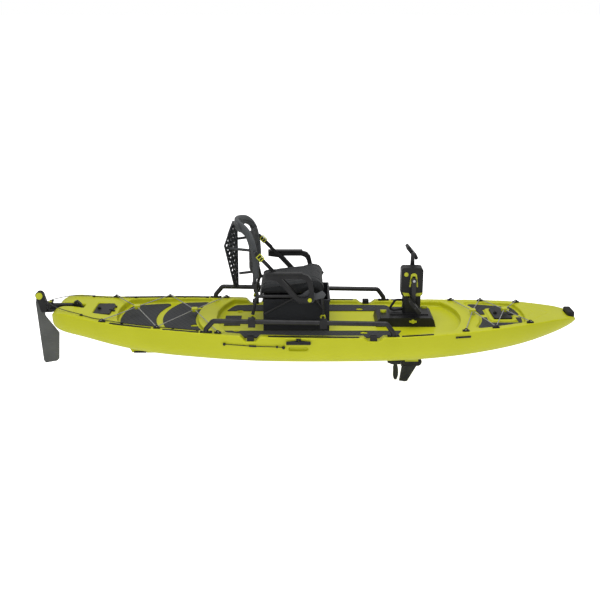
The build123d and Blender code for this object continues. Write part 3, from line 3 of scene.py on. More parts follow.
import bmesh
import bpy
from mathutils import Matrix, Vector


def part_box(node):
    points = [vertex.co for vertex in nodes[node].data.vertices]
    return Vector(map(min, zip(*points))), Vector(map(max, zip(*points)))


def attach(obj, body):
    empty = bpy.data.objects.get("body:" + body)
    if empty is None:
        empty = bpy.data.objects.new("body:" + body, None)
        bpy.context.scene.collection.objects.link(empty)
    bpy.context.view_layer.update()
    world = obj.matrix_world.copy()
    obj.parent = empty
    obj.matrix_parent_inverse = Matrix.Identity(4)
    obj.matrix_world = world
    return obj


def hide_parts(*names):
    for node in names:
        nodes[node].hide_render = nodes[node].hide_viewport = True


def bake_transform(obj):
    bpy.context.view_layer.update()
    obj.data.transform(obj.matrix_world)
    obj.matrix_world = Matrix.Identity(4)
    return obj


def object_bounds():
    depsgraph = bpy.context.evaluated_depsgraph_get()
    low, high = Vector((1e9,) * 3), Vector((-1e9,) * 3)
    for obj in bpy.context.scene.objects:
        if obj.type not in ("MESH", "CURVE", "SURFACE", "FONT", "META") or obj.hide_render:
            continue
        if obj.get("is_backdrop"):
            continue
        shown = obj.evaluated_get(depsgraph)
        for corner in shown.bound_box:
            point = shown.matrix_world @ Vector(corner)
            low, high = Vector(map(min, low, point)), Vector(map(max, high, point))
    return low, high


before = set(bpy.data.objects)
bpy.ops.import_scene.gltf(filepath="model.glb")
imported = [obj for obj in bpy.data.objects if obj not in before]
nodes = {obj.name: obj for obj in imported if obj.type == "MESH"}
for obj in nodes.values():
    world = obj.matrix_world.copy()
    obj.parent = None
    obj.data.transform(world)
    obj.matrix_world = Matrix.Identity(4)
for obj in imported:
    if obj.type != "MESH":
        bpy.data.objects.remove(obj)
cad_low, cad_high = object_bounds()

scene = bpy.context.scene

# ---- Viewer's camera ---------------------------------------------------------------------
# A long lens on a stand off the boat's starboard side, a little above the seat. It looks at
# the middle of the boat, level from bow to stern, and slightly down on the deck.
VIEW_HEIGHT = 2.309
VIEW_BACK = 6.142
LENS = 57.06
LOOK_AT = Vector((0, 0, 0.372))
lens = bpy.data.cameras.new("camera")
lens.lens = LENS
lens.sensor_width = 36
lens.clip_end = 200
camera = bpy.data.objects.new("camera", lens)
scene.collection.objects.link(camera)
camera.location = (0, -VIEW_BACK, VIEW_HEIGHT)
camera.rotation_euler = (LOOK_AT - camera.location).to_track_quat("-Z", "Y").to_euler()
scene.camera = camera

# ---- Steering cables at the rudder --------------------------------------------------------
# Two coated cables, 5 mm thick, run from the ears of the rudder's head over the stern deck
# to the first guide on each gunwale. They are tight.
CABLE = 0.005
CABLE_APART = 0.038          # from the centre line to each ear


def add(tree, kind, inputs=None, **settings):
    """A shader node of that kind, its settings made and its inputs filled or wired."""
    node = tree.nodes.new("ShaderNode" + kind)
    for key, value in settings.items():
        setattr(node, key, value)
    for key, value in (inputs or {}).items():
        if isinstance(value, bpy.types.NodeSocket):
            tree.links.new(value, node.inputs[key])
        else:
            node.inputs[key].default_value = value
    return node


def new_group(name, inputs, outputs):
    """An empty node group with float inputs and named outputs, and its two end nodes."""
    group = bpy.data.node_groups.new(name, "ShaderNodeTree")
    for label, value in inputs.items():
        socket = group.interface.new_socket(name=label, in_out="INPUT", socket_type="NodeSocketFloat")
        socket.default_value = value
    for label in outputs:
        group.interface.new_socket(name=label, in_out="OUTPUT", socket_type="NodeSocketFloat")
    return group, group.nodes.new("NodeGroupInput").outputs, group.nodes.new("NodeGroupOutput")


def use(material, group, **inputs):
    """The group placed in a material with its own values."""
    node = material.node_tree.nodes.new("ShaderNodeGroup")
    node.node_tree = group
    for key, value in inputs.items():
        socket = node.inputs[key.replace("_", " ")]
        if isinstance(value, bpy.types.NodeSocket):
            material.node_tree.links.new(value, socket)
        else:
            socket.default_value = value
    return node.outputs


def new_material(name, roughness, metallic=0.0, **sockets):
    """A material with its Principled shader, whose plain values are set on its own sockets."""
    material = bpy.data.materials.new(name)
    material.use_nodes = True
    shader = material.node_tree.nodes["Principled BSDF"]
    shader.inputs["Roughness"].default_value = roughness
    shader.inputs["Metallic"].default_value = metallic
    shader.inputs["Specular IOR Level"].default_value = 0.5 if metallic else 0.28
    for key, value in sockets.items():
        shader.inputs[key.replace("_", " ")].default_value = value
    return material, material.node_tree, shader


def blend_colours(tree, share, dark, light):
    """A colour between two, by a share that changes over the surface."""
    mix = add(tree, "Mix", {0: share, 6: (*dark, 1), 7: (*light, 1)}, data_type="RGBA")
    return mix.outputs[2]


def raise_by(material, shader, height, strength, distance):
    """The material's surface raised by a height, with a bump of that strength and distance."""
    tree = material.node_tree
    bump = add(tree, "Bump", {"Strength": strength, "Distance": distance, "Height": height})
    tree.links.new(bump.outputs["Normal"], shader.inputs["Normal"])


def between_rings(make, rings):
    """Four-cornered faces from each ring of corners to the next."""
    for low, high in zip(rings, rings[1:]):
        for k in range(len(low)):
            after = (k + 1) % len(low)
            make.faces.new((low[k], low[after], high[after], high[k]))


def close_ends(make, rings):
    """A flat face on the first ring and on the last."""
    make.faces.new(rings[0][::-1])
    make.faces.new(rings[-1])


def in_scene(make, name):
    """The finished mesh as a new object in the scene."""
    mesh = bpy.data.meshes.new(name)
    make.to_mesh(mesh)
    make.free()
    piece = bpy.data.objects.new(name, mesh)
    scene.collection.objects.link(piece)
    return piece


def tube_along(points, radius, sides, name):
    """A round tube with closed ends along points, with its length and turn kept as attributes."""
    make = bmesh.new()
    along = make.verts.layers.float.new("along")
    around = make.verts.layers.float.new("around")
    length, rings, side = 0.0, [], None
    for i, point in enumerate(points):
        ahead = (points[min(i + 1, len(points) - 1)] - points[max(i - 1, 0)]).normalized()
        side = ahead.orthogonal() if side is None else side - ahead * side.dot(ahead)
        side.normalize()
        up = ahead.cross(side)
        length += (point - points[i - 1]).length if i else 0.0
        ring = []
        for k in range(sides):
            turn = 2 * math.pi * k / sides
            vertex = make.verts.new(point + (side * math.cos(turn) + up * math.sin(turn)) * radius)
            vertex[along], vertex[around] = length, k / sides
            ring.append(vertex)
        rings.append(ring)
    between_rings(make, rings)
    close_ends(make, rings)
    for face in make.faces:
        face.smooth = len(face.verts) == 4
    return in_scene(make, name), length


def line_through(points, order=3, spacing=0.006):
    """Points along a smooth line whose control points are given."""
    curve = bpy.data.curves.new("route", "CURVE")
    curve.dimensions = "3D"
    curve.resolution_u = 24
    spline = curve.splines.new("NURBS")
    spline.points.add(len(points) - 1)
    for knot, point in zip(spline.points, points):
        knot.co = (*point, 1)
    spline.order_u = order
    spline.use_endpoint_u = True
    holder = bpy.data.objects.new("route", curve)
    scene.collection.objects.link(holder)
    bpy.context.view_layer.update()
    mesh = bpy.data.meshes.new_from_object(holder.evaluated_get(bpy.context.evaluated_depsgraph_get()))
    found = [vertex.co.copy() for vertex in mesh.vertices]
    bpy.data.objects.remove(holder)
    kept = [found[0]]
    for point in found[1:-1]:
        if (point - kept[-1]).length >= spacing:
            kept.append(point)
    return kept + [found[-1]]


# Braid: strands that cross round a cord, from its length and turn.
braid, given, out = new_group("braid", {"Pitch": 0.004, "Strands": 8.0}, ["Height", "Fleck"])
along = add(braid, "Attribute", attribute_name="along").outputs["Fac"]
around = add(braid, "Attribute", attribute_name="around").outputs["Fac"]
steps = add(braid, "Math", {0: along, 1: given["Pitch"]}, operation="DIVIDE").outputs[0]
turns = add(braid, "Math", {0: around, 1: given["Strands"]}, operation="MULTIPLY").outputs[0]
waves = []
for direction in ("ADD", "SUBTRACT"):
    lay = add(braid, "Math", {0: steps, 1: turns}, operation=direction).outputs[0]
    angle = add(braid, "Math", {0: lay, 1: 2 * math.pi}, operation="MULTIPLY").outputs[0]
    waves.append(add(braid, "Math", {0: angle}, operation="SINE").outputs[0])
high = add(braid, "Math", {0: waves[0], 1: waves[1]}, operation="MAXIMUM").outputs[0]
rise = add(braid, "Math", {0: high, 1: 0.5, 2: 0.5}, operation="MULTIPLY_ADD").outputs[0]
braid.links.new(rise, out.inputs["Height"])
both_high = add(braid, "Math", {0: waves[0], 1: waves[1]}, operation="MULTIPLY").outputs[0]
fleck = add(braid, "Math", {0: both_high, 1: 0.55}, operation="GREATER_THAN").outputs[0]
braid.links.new(fleck, out.inputs["Fleck"])


def cord_material(name, dark, light, pitch, strands, roughness):
    """Braided cord: a jacket in one colour with flecks of another where strands cross."""
    material, tree, shader = new_material(name, roughness, Sheen_Weight=0.15)
    strand = use(material, braid, Pitch=pitch, Strands=strands)
    tree.links.new(blend_colours(tree, strand["Fleck"], dark, light), shader.inputs["Base Color"])
    raise_by(material, shader, strand["Height"], 0.6, 0.0006)
    return material


cable_jacket = cord_material("cable_jacket", (0.012, 0.012, 0.013), (0.03, 0.03, 0.032), 0.003, 8, 0.35)
cable_low, cable_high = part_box("rudder_lines")
for side, word in ((-1, "starboard"), (1, "port")):
    start = Vector((cable_low.x + CABLE / 2, side * CABLE_APART, cable_high.z - CABLE / 2))
    route = [start, (-1.655, side * 0.083, 0.3602), (-1.590, side * 0.150, 0.358),
             (-1.520, side * 0.178, 0.348), (-1.441, side * 0.2068, 0.3385)]
    path = line_through(route)
    cable, cable_length = tube_along(path, CABLE / 2, 10, "rudder_cable_" + word)
    cable.data.materials.append(cable_jacket)
    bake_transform(cable)
    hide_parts("rudder_lines")

# ---- Studio: floor and light --------------------------------------------------------------
# A plain white floor below the lowest blade, a white room round it, one wide soft lamp
# overhead and one large panel in front that lifts the side of the hull. The floor and the
# room are shown as clear white, and light the boat less than that.
FLOOR_DROP = 0.010
FLOOR_GLOW = 0.25
ROOM_LIGHT = 0.52
FLOOR_SIDE, FLOOR_NEAR, FLOOR_FAR = 60, -30, 160
floor_z = cad_low.z - FLOOR_DROP
plane = bpy.data.meshes.new("floor")
plane.from_pydata([(-FLOOR_SIDE, FLOOR_NEAR, floor_z), (FLOOR_SIDE, FLOOR_NEAR, floor_z),
                   (FLOOR_SIDE, FLOOR_FAR, floor_z), (-FLOOR_SIDE, FLOOR_FAR, floor_z)],
                  [], [(0, 1, 2, 3)])
floor = bpy.data.objects.new("floor", plane)
scene.collection.objects.link(floor)
floor_paint, tree, shader = new_material("floor_paint", 0.9)
shader.inputs["Base Color"].default_value = (0.90, 0.90, 0.90, 1)
shader.inputs["Emission Color"].default_value = (1, 1, 1, 1)
seen = add(tree, "LightPath").outputs["Is Camera Ray"]
glow = add(tree, "MapRange", {0: seen, 3: FLOOR_GLOW, 4: 1.0})
tree.links.new(glow.outputs[0], shader.inputs["Emission Strength"])
plane.materials.append(floor_paint)
floor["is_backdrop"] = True
room = bpy.data.worlds.new("room")
room.use_nodes = True
tree = room.node_tree
seen = add(tree, "LightPath").outputs["Is Camera Ray"]
level = add(tree, "MapRange", {0: seen, 3: ROOM_LIGHT, 4: 1.0})
tree.nodes["Background"].inputs["Color"].default_value = (1, 1, 1, 1)
tree.links.new(level.outputs[0], tree.nodes["Background"].inputs["Strength"])
scene.world = room
for name, place, aim, size, power in (
        ("overhead_lamp", (0.3, -0.6, 3.6), (0, 0, 0.2), (4.4, 2.4), 76),
        ("front_panel", (-1.2, -4.6, 1.7), (0, 0, 0.2), (4.0, 1.6), 20)):
    lamp = bpy.data.lights.new(name, "AREA")
    lamp.shape = "RECTANGLE"
    lamp.size, lamp.size_y = size
    lamp.energy = power
    holder = bpy.data.objects.new(name, lamp)
    holder.location = place
    holder.rotation_euler = (Vector(aim) - Vector(place)).to_track_quat("-Z", "Y").to_euler()
    scene.collection.objects.link(holder)
scene.view_settings.view_transform = "Standard"

# ---- Hull ---------------------------------------------------------------------------------
# One hollow shell of lime polyethylene, turned in a heated mould until the powder has coated
# it, so every edge is rounded and the skin keeps the mould's fine, slightly uneven grain.
HULL_VOXEL = 0.0055
HULL_SOFTENED = 5
HULL_FACES = 180000

# Moulded grain: the small unevenness of a plastic skin, and a slow cloudiness in its colour.
moulded_grain, given, out = new_group("moulded_grain", {"Fine": 420.0, "Broad": 9.0}, ["Height", "Cloud"])
place = add(moulded_grain, "TexCoord").outputs["Object"]
fine = add(moulded_grain, "TexNoise", {"Vector": place, "Scale": given["Fine"], "Detail": 3.0}).outputs[0]
broad = add(moulded_grain, "TexNoise", {"Vector": place, "Scale": given["Broad"], "Detail": 2.0}).outputs[0]
moulded_grain.links.new(fine, out.inputs["Height"])
cloud = add(moulded_grain, "MapRange", {0: broad, 1: 0.35, 2: 0.65}).outputs[0]
moulded_grain.links.new(cloud, out.inputs["Cloud"])

# Edge wear: rubbed edges, found by how far a small round would turn the surface there.
edge_wear, given, out = new_group("edge_wear", {"Radius": 0.003, "Amount": 0.5, "Scale": 60.0}, ["Mask"])
round_normal = add(edge_wear, "Bevel", {"Radius": given["Radius"]}, samples=4).outputs[0]
flat_normal = add(edge_wear, "NewGeometry").outputs["Normal"]
turned = add(edge_wear, "VectorMath", {0: round_normal, 1: flat_normal}, operation="DOT_PRODUCT")
turned = turned.outputs["Value"]
edge = add(edge_wear, "MapRange", {0: turned, 1: 0.985, 2: 0.80}).outputs[0]
place = add(edge_wear, "TexCoord").outputs["Object"]
rubbed = add(edge_wear, "TexNoise", {"Vector": place, "Scale": given["Scale"], "Detail": 4.0}).outputs[0]
patchy = add(edge_wear, "MapRange", {0: rubbed, 1: 0.42, 2: 0.62}).outputs[0]
worn = add(edge_wear, "Math", {0: edge, 1: patchy}, operation="MULTIPLY").outputs[0]
worn = add(edge_wear, "Math", {0: worn, 1: given["Amount"]}, operation="MULTIPLY").outputs[0]
edge_wear.links.new(worn, out.inputs["Mask"])

# Scuffs: short fine scratches in all directions, from stretched noise.
scuffs, given, out = new_group("scuffs", {"Amount": 0.3, "Scale": 26.0}, ["Mask"])
place = add(scuffs, "TexCoord").outputs["Object"]
lines = []
for turn, stretch in (((0.3, 0.2, 0.5), (1, 14, 14)), ((0.9, 1.2, 2.0), (14, 1, 14))):
    turned = add(scuffs, "Mapping", {"Vector": place, "Rotation": turn, "Scale": stretch}).outputs[0]
    streak = add(scuffs, "TexNoise", {"Vector": turned, "Scale": given["Scale"], "Detail": 2.0}).outputs[0]
    lines.append(add(scuffs, "MapRange", {0: streak, 1: 0.66, 2: 0.72}).outputs[0])
either = add(scuffs, "Math", {0: lines[0], 1: lines[1]}, operation="MAXIMUM").outputs[0]
either = add(scuffs, "Math", {0: either, 1: given["Amount"]}, operation="MULTIPLY").outputs[0]
scuffs.links.new(either, out.inputs["Mask"])


def moulded(name, dark, light, roughness, worn_to, fine=420.0, broad=9.0, depth=0.00025,
            wear=0.4, scratch=0.25, coat=0.0):
    """Moulded plastic: cloudy colour, grain, rubbed edges and light scratches."""
    material, tree, shader = new_material(name, roughness, Coat_Weight=coat, Coat_Roughness=0.25)
    grain = use(material, moulded_grain, Fine=fine, Broad=broad)
    rub = use(material, edge_wear, Amount=wear)["Mask"]
    marks = use(material, scuffs, Amount=scratch)["Mask"]
    colour = blend_colours(tree, grain["Cloud"], dark, light)
    used = add(tree, "Math", {0: rub, 1: marks}, operation="MAXIMUM").outputs[0]
    mix = add(tree, "Mix", {0: used, 6: colour, 7: (*worn_to, 1)}, data_type="RGBA")
    tree.links.new(mix.outputs[2], shader.inputs["Base Color"])
    even = add(tree, "MapRange", {0: grain["Height"], 1: 0.3, 2: 0.7,
                                  3: roughness - 0.07, 4: roughness + 0.07}).outputs[0]
    dulled = add(tree, "Math", {0: used, 1: 0.15}, operation="MULTIPLY").outputs[0]
    rough = add(tree, "Math", {0: even, 1: dulled}, operation="ADD", use_clamp=True).outputs[0]
    tree.links.new(rough, shader.inputs["Roughness"])
    raise_by(material, shader, grain["Height"], 0.5, depth)
    return material


SAME_PLACE = 1e-6


def skin_of(node):
    """The node's largest closed surface as a welded mesh, without the hollow inside it."""
    make = bmesh.new()
    make.from_mesh(nodes[node].data)
    bmesh.ops.remove_doubles(make, verts=make.verts, dist=SAME_PLACE)
    left, largest = set(make.verts), []
    while left:
        stack = [left.pop()]
        island = [stack[0]]
        while stack:
            for edge in stack.pop().link_edges:
                for vertex in edge.verts:
                    if vertex in left:
                        left.discard(vertex)
                        island.append(vertex)
                        stack.append(vertex)
        span = max(v.co.x for v in island) - min(v.co.x for v in island)
        if not largest or span > largest[0]:
            largest = (span, island)
    keep = set(largest[1])
    bmesh.ops.delete(make, geom=[v for v in make.verts if v not in keep], context="VERTS")
    mesh = bpy.data.meshes.new(node + "_skin")
    make.to_mesh(mesh)
    make.free()
    return mesh


def apply_modifiers(piece):
    """The piece with its modifiers made real."""
    view = bpy.context.evaluated_depsgraph_get()
    mesh = bpy.data.meshes.new_from_object(piece.evaluated_get(view))
    piece.modifiers.clear()
    piece.data = mesh
    mesh.shade_smooth()
    return piece


lime_shell = moulded("lime_shell", (0.530, 0.550, 0.008), (0.560, 0.580, 0.012), 0.40, (0.62, 0.64, 0.14),
                     fine=330.0, broad=3.5, depth=0.0004, wear=0.25, scratch=0.18, coat=0.04)
hull_shell = bpy.data.objects.new("hull_shell", skin_of("hull"))
scene.collection.objects.link(hull_shell)
remesh = hull_shell.modifiers.new("skin", "REMESH")
remesh.mode = "VOXEL"
remesh.voxel_size = HULL_VOXEL
soften = hull_shell.modifiers.new("soften", "SMOOTH")
soften.factor = 0.5
soften.iterations = HULL_SOFTENED
apply_modifiers(hull_shell)
thin = hull_shell.modifiers.new("thin", "DECIMATE")
thin.ratio = min(1.0, HULL_FACES / (2 * len(hull_shell.data.polygons)))
apply_modifiers(hull_shell)
hull_shell.data.materials.clear()
hull_shell.data.materials.append(lime_shell)
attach(hull_shell, "hull")
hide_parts("hull")

# ---- Deck pads ----------------------------------------------------------------------------
# Sheets of closed-cell foam, 5 mm thick, glued to the floors of the wells. A router has cut
# shallow grooves in a diamond pattern, and the top is brushed to a fine nap for grip.
GROOVE_PITCH = 0.017
GROOVE_LEAN = 0.55

# Cut grooves: two sets of narrow lines that cross on a level surface, and a brushed nap.
cut_grooves, given, out = new_group("cut_grooves", {"Pitch": 0.02, "Width": 0.12},
                                    ["Height", "Groove", "Nap"])
place = add(cut_grooves, "TexCoord").outputs["Object"]
across = add(cut_grooves, "SeparateXYZ", {0: place}).outputs
cuts = []
for lean in (GROOVE_LEAN, -GROOVE_LEAN):
    shifted = add(cut_grooves, "Math", {0: across["Y"], 1: lean, 2: across["X"]}, operation="MULTIPLY_ADD")
    steps = add(cut_grooves, "Math", {0: shifted.outputs[0], 1: given["Pitch"]}, operation="DIVIDE")
    saw = add(cut_grooves, "Math", {0: steps.outputs[0], 1: 1.0}, operation="PINGPONG").outputs[0]
    cuts.append(add(cut_grooves, "Math", {0: saw, 1: given["Width"]}, operation="LESS_THAN").outputs[0])
groove = add(cut_grooves, "Math", {0: cuts[0], 1: cuts[1]}, operation="MAXIMUM").outputs[0]
nap = add(cut_grooves, "TexNoise", {"Vector": place, "Scale": 900.0, "Detail": 2.0}).outputs[0]
top = add(cut_grooves, "Math", {0: nap, 1: 0.25}, operation="MULTIPLY").outputs[0]
height = add(cut_grooves, "Math", {0: top, 1: groove}, operation="SUBTRACT").outputs[0]
for label, value in (("Height", height), ("Groove", groove), ("Nap", nap)):
    cut_grooves.links.new(value, out.inputs[label])


WELD_WITHIN = 0.00001
HARD_EDGE = 40               # degrees, from which an edge is rounded


def dress(names, material, edge=0.0):
    """The CAD nodes take that material, and their hard edges a small round of that radius."""
    for name in names:
        piece = nodes[name]
        piece.data.materials.clear()
        piece.data.materials.append(material)
        if edge:
            weld = piece.modifiers.new("weld", "WELD")
            weld.merge_threshold = WELD_WITHIN
            rounded = piece.modifiers.new("edge", "BEVEL")
            rounded.width = edge
            rounded.segments = 2
            rounded.limit_method = "ANGLE"
            rounded.angle_limit = math.radians(HARD_EDGE)
            rounded.harden_normals = True


foam, tree, shader = new_material("brushed_foam", 0.85, Sheen_Weight=0.05, Sheen_Roughness=0.6)
cut = use(foam, cut_grooves, Pitch=GROOVE_PITCH, Width=0.14)
nap_colour = blend_colours(tree, cut["Nap"], (0.028, 0.030, 0.033), (0.050, 0.053, 0.057))
# The cut grooves are painted darker than the nap: this is painted shade in the grooves, as well as their real
# bump.
colour = add(tree, "Mix", {0: cut["Groove"], 6: nap_colour, 7: (0.020, 0.021, 0.024, 1)}, data_type="RGBA")
tree.links.new(colour.outputs[2], shader.inputs["Base Color"])
raise_by(foam, shader, cut["Height"], 0.5, 0.0012)
dress(["deck_pads"], foam, 0.0012)

# ---- Deck fittings ------------------------------------------------------------------------
# Black moulded nylon: padeyes and cable guides screwed to the gunwales, guide blocks in the
# dips, slot trims in the sides and the wear plate under the keel. The tracks are anodised.
black_moulded = moulded("black_moulded", (0.010, 0.010, 0.011), (0.017, 0.017, 0.018), 0.42,
                        (0.07, 0.07, 0.07), fine=900.0, broad=14.0, depth=0.00015, wear=0.55, scratch=0.2)
dress(["padeyes", "steering_guides", "handle_eyelets", "hatch_hinges"], black_moulded, 0.0006)
dress(["hull_trims", "paddle_keeper"], black_moulded, 0.0008)


def coated_metal(name, dark, light, roughness, worn_to, wear=0.5, metallic=0.0, coat=0.15):
    """Painted or anodised metal: a close orange peel, bright rubbed edges and light scratches."""
    material, tree, shader = new_material(name, roughness, metallic, Coat_Weight=coat, Coat_Roughness=0.3)
    peel = use(material, moulded_grain, Fine=1500.0, Broad=22.0)
    rub = use(material, edge_wear, Radius=0.002, Amount=wear, Scale=90.0)["Mask"]
    marks = use(material, scuffs, Amount=0.35, Scale=40.0)["Mask"]
    used = add(tree, "Math", {0: rub, 1: marks}, operation="MAXIMUM").outputs[0]
    colour = blend_colours(tree, peel["Cloud"], dark, light)
    mix = add(tree, "Mix", {0: used, 6: colour, 7: (*worn_to, 1)}, data_type="RGBA")
    tree.links.new(mix.outputs[2], shader.inputs["Base Color"])
    rough = add(tree, "MapRange", {0: peel["Height"], 1: 0.3, 2: 0.7,
                                   3: roughness - 0.08, 4: roughness + 0.08})
    tree.links.new(rough.outputs[0], shader.inputs["Roughness"])
    raise_by(material, shader, peel["Height"], 0.35, 0.0001)
    return material


anodised = coated_metal("black_anodised", (0.012, 0.012, 0.014), (0.022, 0.022, 0.025), 0.34,
                        (0.16, 0.16, 0.17), metallic=0.4)
dress(["gear_tracks"], anodised, 0.0005)
cable_coat = moulded("cable_coat", (0.009, 0.009, 0.010), (0.015, 0.015, 0.016), 0.35, (0.05, 0.05, 0.05),
                     fine=1400.0, broad=30.0, depth=0.0001)
dress(["steering_lines"], cable_coat)

# ---- Shock cords --------------------------------------------------------------------------
# Braided elastic cord, 6 mm, grey with a dark fleck. Each run is threaded through a padeye
# and stretched to a moulded hub over the middle of the well, where the cords cross.
CORD_RADIUS = 0.003
END_REACH = 2.5 * CORD_RADIUS
HUB_REACH = 0.060
EYE_SAG = 0.003


def islands_of(name):
    """The separate closed surfaces of a node, each as a list of its corners."""
    make = bmesh.new()
    make.from_mesh(nodes[name].data)
    bmesh.ops.remove_doubles(make, verts=make.verts, dist=SAME_PLACE)
    make.verts.index_update()
    left, found = set(make.verts), []
    while left:
        stack = [left.pop()]
        island = []
        while stack:
            vertex = stack.pop()
            island.append(vertex)
            for edge in vertex.link_edges:
                other = edge.other_vert(vertex)
                if other in left:
                    left.discard(other)
                    stack.append(other)
        island.sort(key=lambda vertex: vertex.index)
        found.append([vertex.co.copy() for vertex in island])
    make.free()
    return sorted(found, key=lambda island: [round(min(p[axis] for p in island), 4) for axis in (0, 1)])


def middle(points):
    """The mean place of some points."""
    return sum(points, Vector()) / len(points)


shock_cord = cord_material("shock_cord", (0.36, 0.36, 0.35), (0.05, 0.05, 0.05), 0.006, 6, 0.7)
hub_centres = [middle(island) for island in islands_of("bungee_hubs")]
for number, island in enumerate(islands_of("bungee_cords"), 1):
    hub_ends = []
    for hub in hub_centres:
        near = min(island, key=lambda p: (p - hub).length)
        if (near - hub).length < HUB_REACH:
            tip = middle([p for p in island if (p - near).length < END_REACH])
            hub_ends.append(hub + (tip - hub) * 0.5)
    outermost = max(island, key=lambda p: abs(p.y))
    eye = middle([p for p in island if (p - outermost).length < END_REACH])
    if len(hub_ends) == 2:
        route = [hub_ends[0], eye.lerp(hub_ends[0], 0.05), eye, eye.lerp(hub_ends[1], 0.05), hub_ends[1]]
    else:
        tail = (eye - hub_ends[0]).normalized() * CORD_RADIUS * 2
        route = [hub_ends[0], hub_ends[0].lerp(eye, 0.5) - Vector((0, 0, EYE_SAG)), eye, eye + tail]
    shock, _ = tube_along(line_through([tuple(p) for p in route]), CORD_RADIUS, 10, f"shock_cord_{number}")
    shock.data.materials.append(shock_cord)
    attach(shock, "hull")
    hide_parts("bungee_cords")

# ---- Cord hubs and lime fittings ----------------------------------------------------------
# Small lime mouldings in polished nylon: the hubs where the shock cords cross, the hooks
# that hold the seat on its rails, and the knobs that clamp the drive.


def round_edges(piece, width):
    """The piece's edges rounded off to that width, and the rounds made real."""
    rounded = piece.modifiers.new("edge", "BEVEL")
    rounded.width = width
    rounded.segments = 3
    apply_modifiers(piece)


lime_moulded = moulded("lime_moulded", (0.51, 0.54, 0.014), (0.56, 0.59, 0.022), 0.30, (0.66, 0.70, 0.30),
                       fine=700.0, broad=20.0, depth=0.0001, wear=0.3, scratch=0.2, coat=0.2)
dress(["seat_hooks"], lime_moulded, 0.0012)
HUB_SIDE, HUB_WAIST, HUB_OVER = 0.040, 0.90, 0.007
HUB_CORNERS, HUB_SQUARE = 32, 0.34
for number, (centre, island) in enumerate(zip(hub_centres, islands_of("bungee_hubs")), 1):
    low = min(p.z for p in island) - HUB_OVER
    high = max(p.z for p in island) + HUB_OVER
    levels = ((low, HUB_WAIST), (low + (high - low) * 0.45, 1.0), (high - 0.002, 1.0), (high, HUB_WAIST),
              (high - 0.0025, 0.52), (high - 0.003, 0.20))
    make = bmesh.new()
    rings = []
    for level, share in levels:
        half, ring = HUB_SIDE / 2 * share, []
        for k in range(HUB_CORNERS):
            turn = 2 * math.pi * (k + 0.5) / HUB_CORNERS
            ahead, aside = [math.copysign(abs(reach) ** HUB_SQUARE, reach) * half
                            for reach in (math.cos(turn), math.sin(turn))]
            ring.append(make.verts.new((centre.x + ahead, centre.y + aside, level)))
        rings.append(ring)
    between_rings(make, rings)
    close_ends(make, rings)
    bmesh.ops.recalc_face_normals(make, faces=make.faces)
    hub = in_scene(make, f"cord_hub_{number}")
    round_edges(hub, 0.0008)
    hub.data.materials.append(lime_moulded)
    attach(hub, "hull")
    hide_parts("bungee_hubs")
dress(["dock_knob_rear", "dock_knob_front", "wing_knob"], lime_moulded, 0.0010)

# ---- Carry handles ------------------------------------------------------------------------
# Soft black grips over a cord at each side, held by moulded cheeks that let them swing up,
# and a ribbed grip bridged across the bow.
grip_rubber = moulded("grip_rubber", (0.012, 0.012, 0.012), (0.020, 0.020, 0.020), 0.68, (0.05, 0.05, 0.05),
                      fine=1100.0, broad=18.0, depth=0.0003, wear=0.3, scratch=0.1)
dress(["bow_handle", "handle_starboard", "handle_port"], grip_rubber, 0.0010)

# ---- Hatches ------------------------------------------------------------------------------
# Two black lids of glass-filled nylon on pin hinges, each pressed on a rubber seal by a
# quarter-turn button. The lids sit in rebates in the deck.
dress(["stern_hatch_lid", "bow_hatch_lid"], black_moulded, 0.0010)
dress(["stern_latch", "bow_latch"], black_moulded, 0.0008)
rubber, tree, shader = new_material("seal_rubber", 0.8)
skin = use(rubber, moulded_grain, Fine=1800.0, Broad=40.0)
tree.links.new(blend_colours(tree, skin["Cloud"], (0.010, 0.010, 0.010), (0.022, 0.022, 0.021)),
               shader.inputs["Base Color"])
raise_by(rubber, shader, skin["Height"], 0.4, 0.0002)
dress(["hatch_seals"], rubber, 0.0006)

# ---- Side rails and seat frame ------------------------------------------------------------
# Aluminium tubes bent cold and coated with black powder: the two rails bolted along the
# gunwales, and the seat's frame, which hooks over their pegs. Feet and clamps are nylon.
black_powder = coated_metal("black_powder_coat", (0.013, 0.013, 0.014), (0.022, 0.022, 0.024), 0.38,
                            (0.12, 0.12, 0.12), wear=0.4)
dress(["side_rails", "seat_frame"], black_powder)
dress(["rail_fittings"], black_moulded, 0.0010)
grey_plate = moulded("grey_plate", (0.070, 0.074, 0.080), (0.092, 0.096, 0.102), 0.40, (0.20, 0.20, 0.21),
                     fine=800.0, broad=16.0, depth=0.00015, wear=0.5)
dress(["side_plates"], grey_plate, 0.0012)
# The caps of the arm bolts are lime, and the knobs of the back are black.
BACK_KNOBS_END = -0.10
bolt_caps, tree, shader = new_material("bolt_caps", 0.36, Coat_Weight=0.1)
along_boat = add(tree, "SeparateXYZ", {0: add(tree, "TexCoord").outputs["Object"]}).outputs["X"]
forward = add(tree, "Math", {0: along_boat, 1: BACK_KNOBS_END}, operation="GREATER_THAN").outputs[0]
speck = use(bolt_caps, moulded_grain, Fine=700.0, Broad=20.0)
lime_cap = blend_colours(tree, speck["Cloud"], (0.50, 0.53, 0.015), (0.56, 0.59, 0.025))
cap = add(tree, "Mix", {0: forward, 6: (0.013, 0.013, 0.014, 1), 7: lime_cap}, data_type="RGBA")
tree.links.new(cap.outputs[2], shader.inputs["Base Color"])
raise_by(bolt_caps, shader, speck["Height"], 0.4, 0.0001)
dress(["seat_bolts"], bolt_caps, 0.0006)
dress(["armrest_starboard", "armrest_port"], black_moulded, 0.0020)

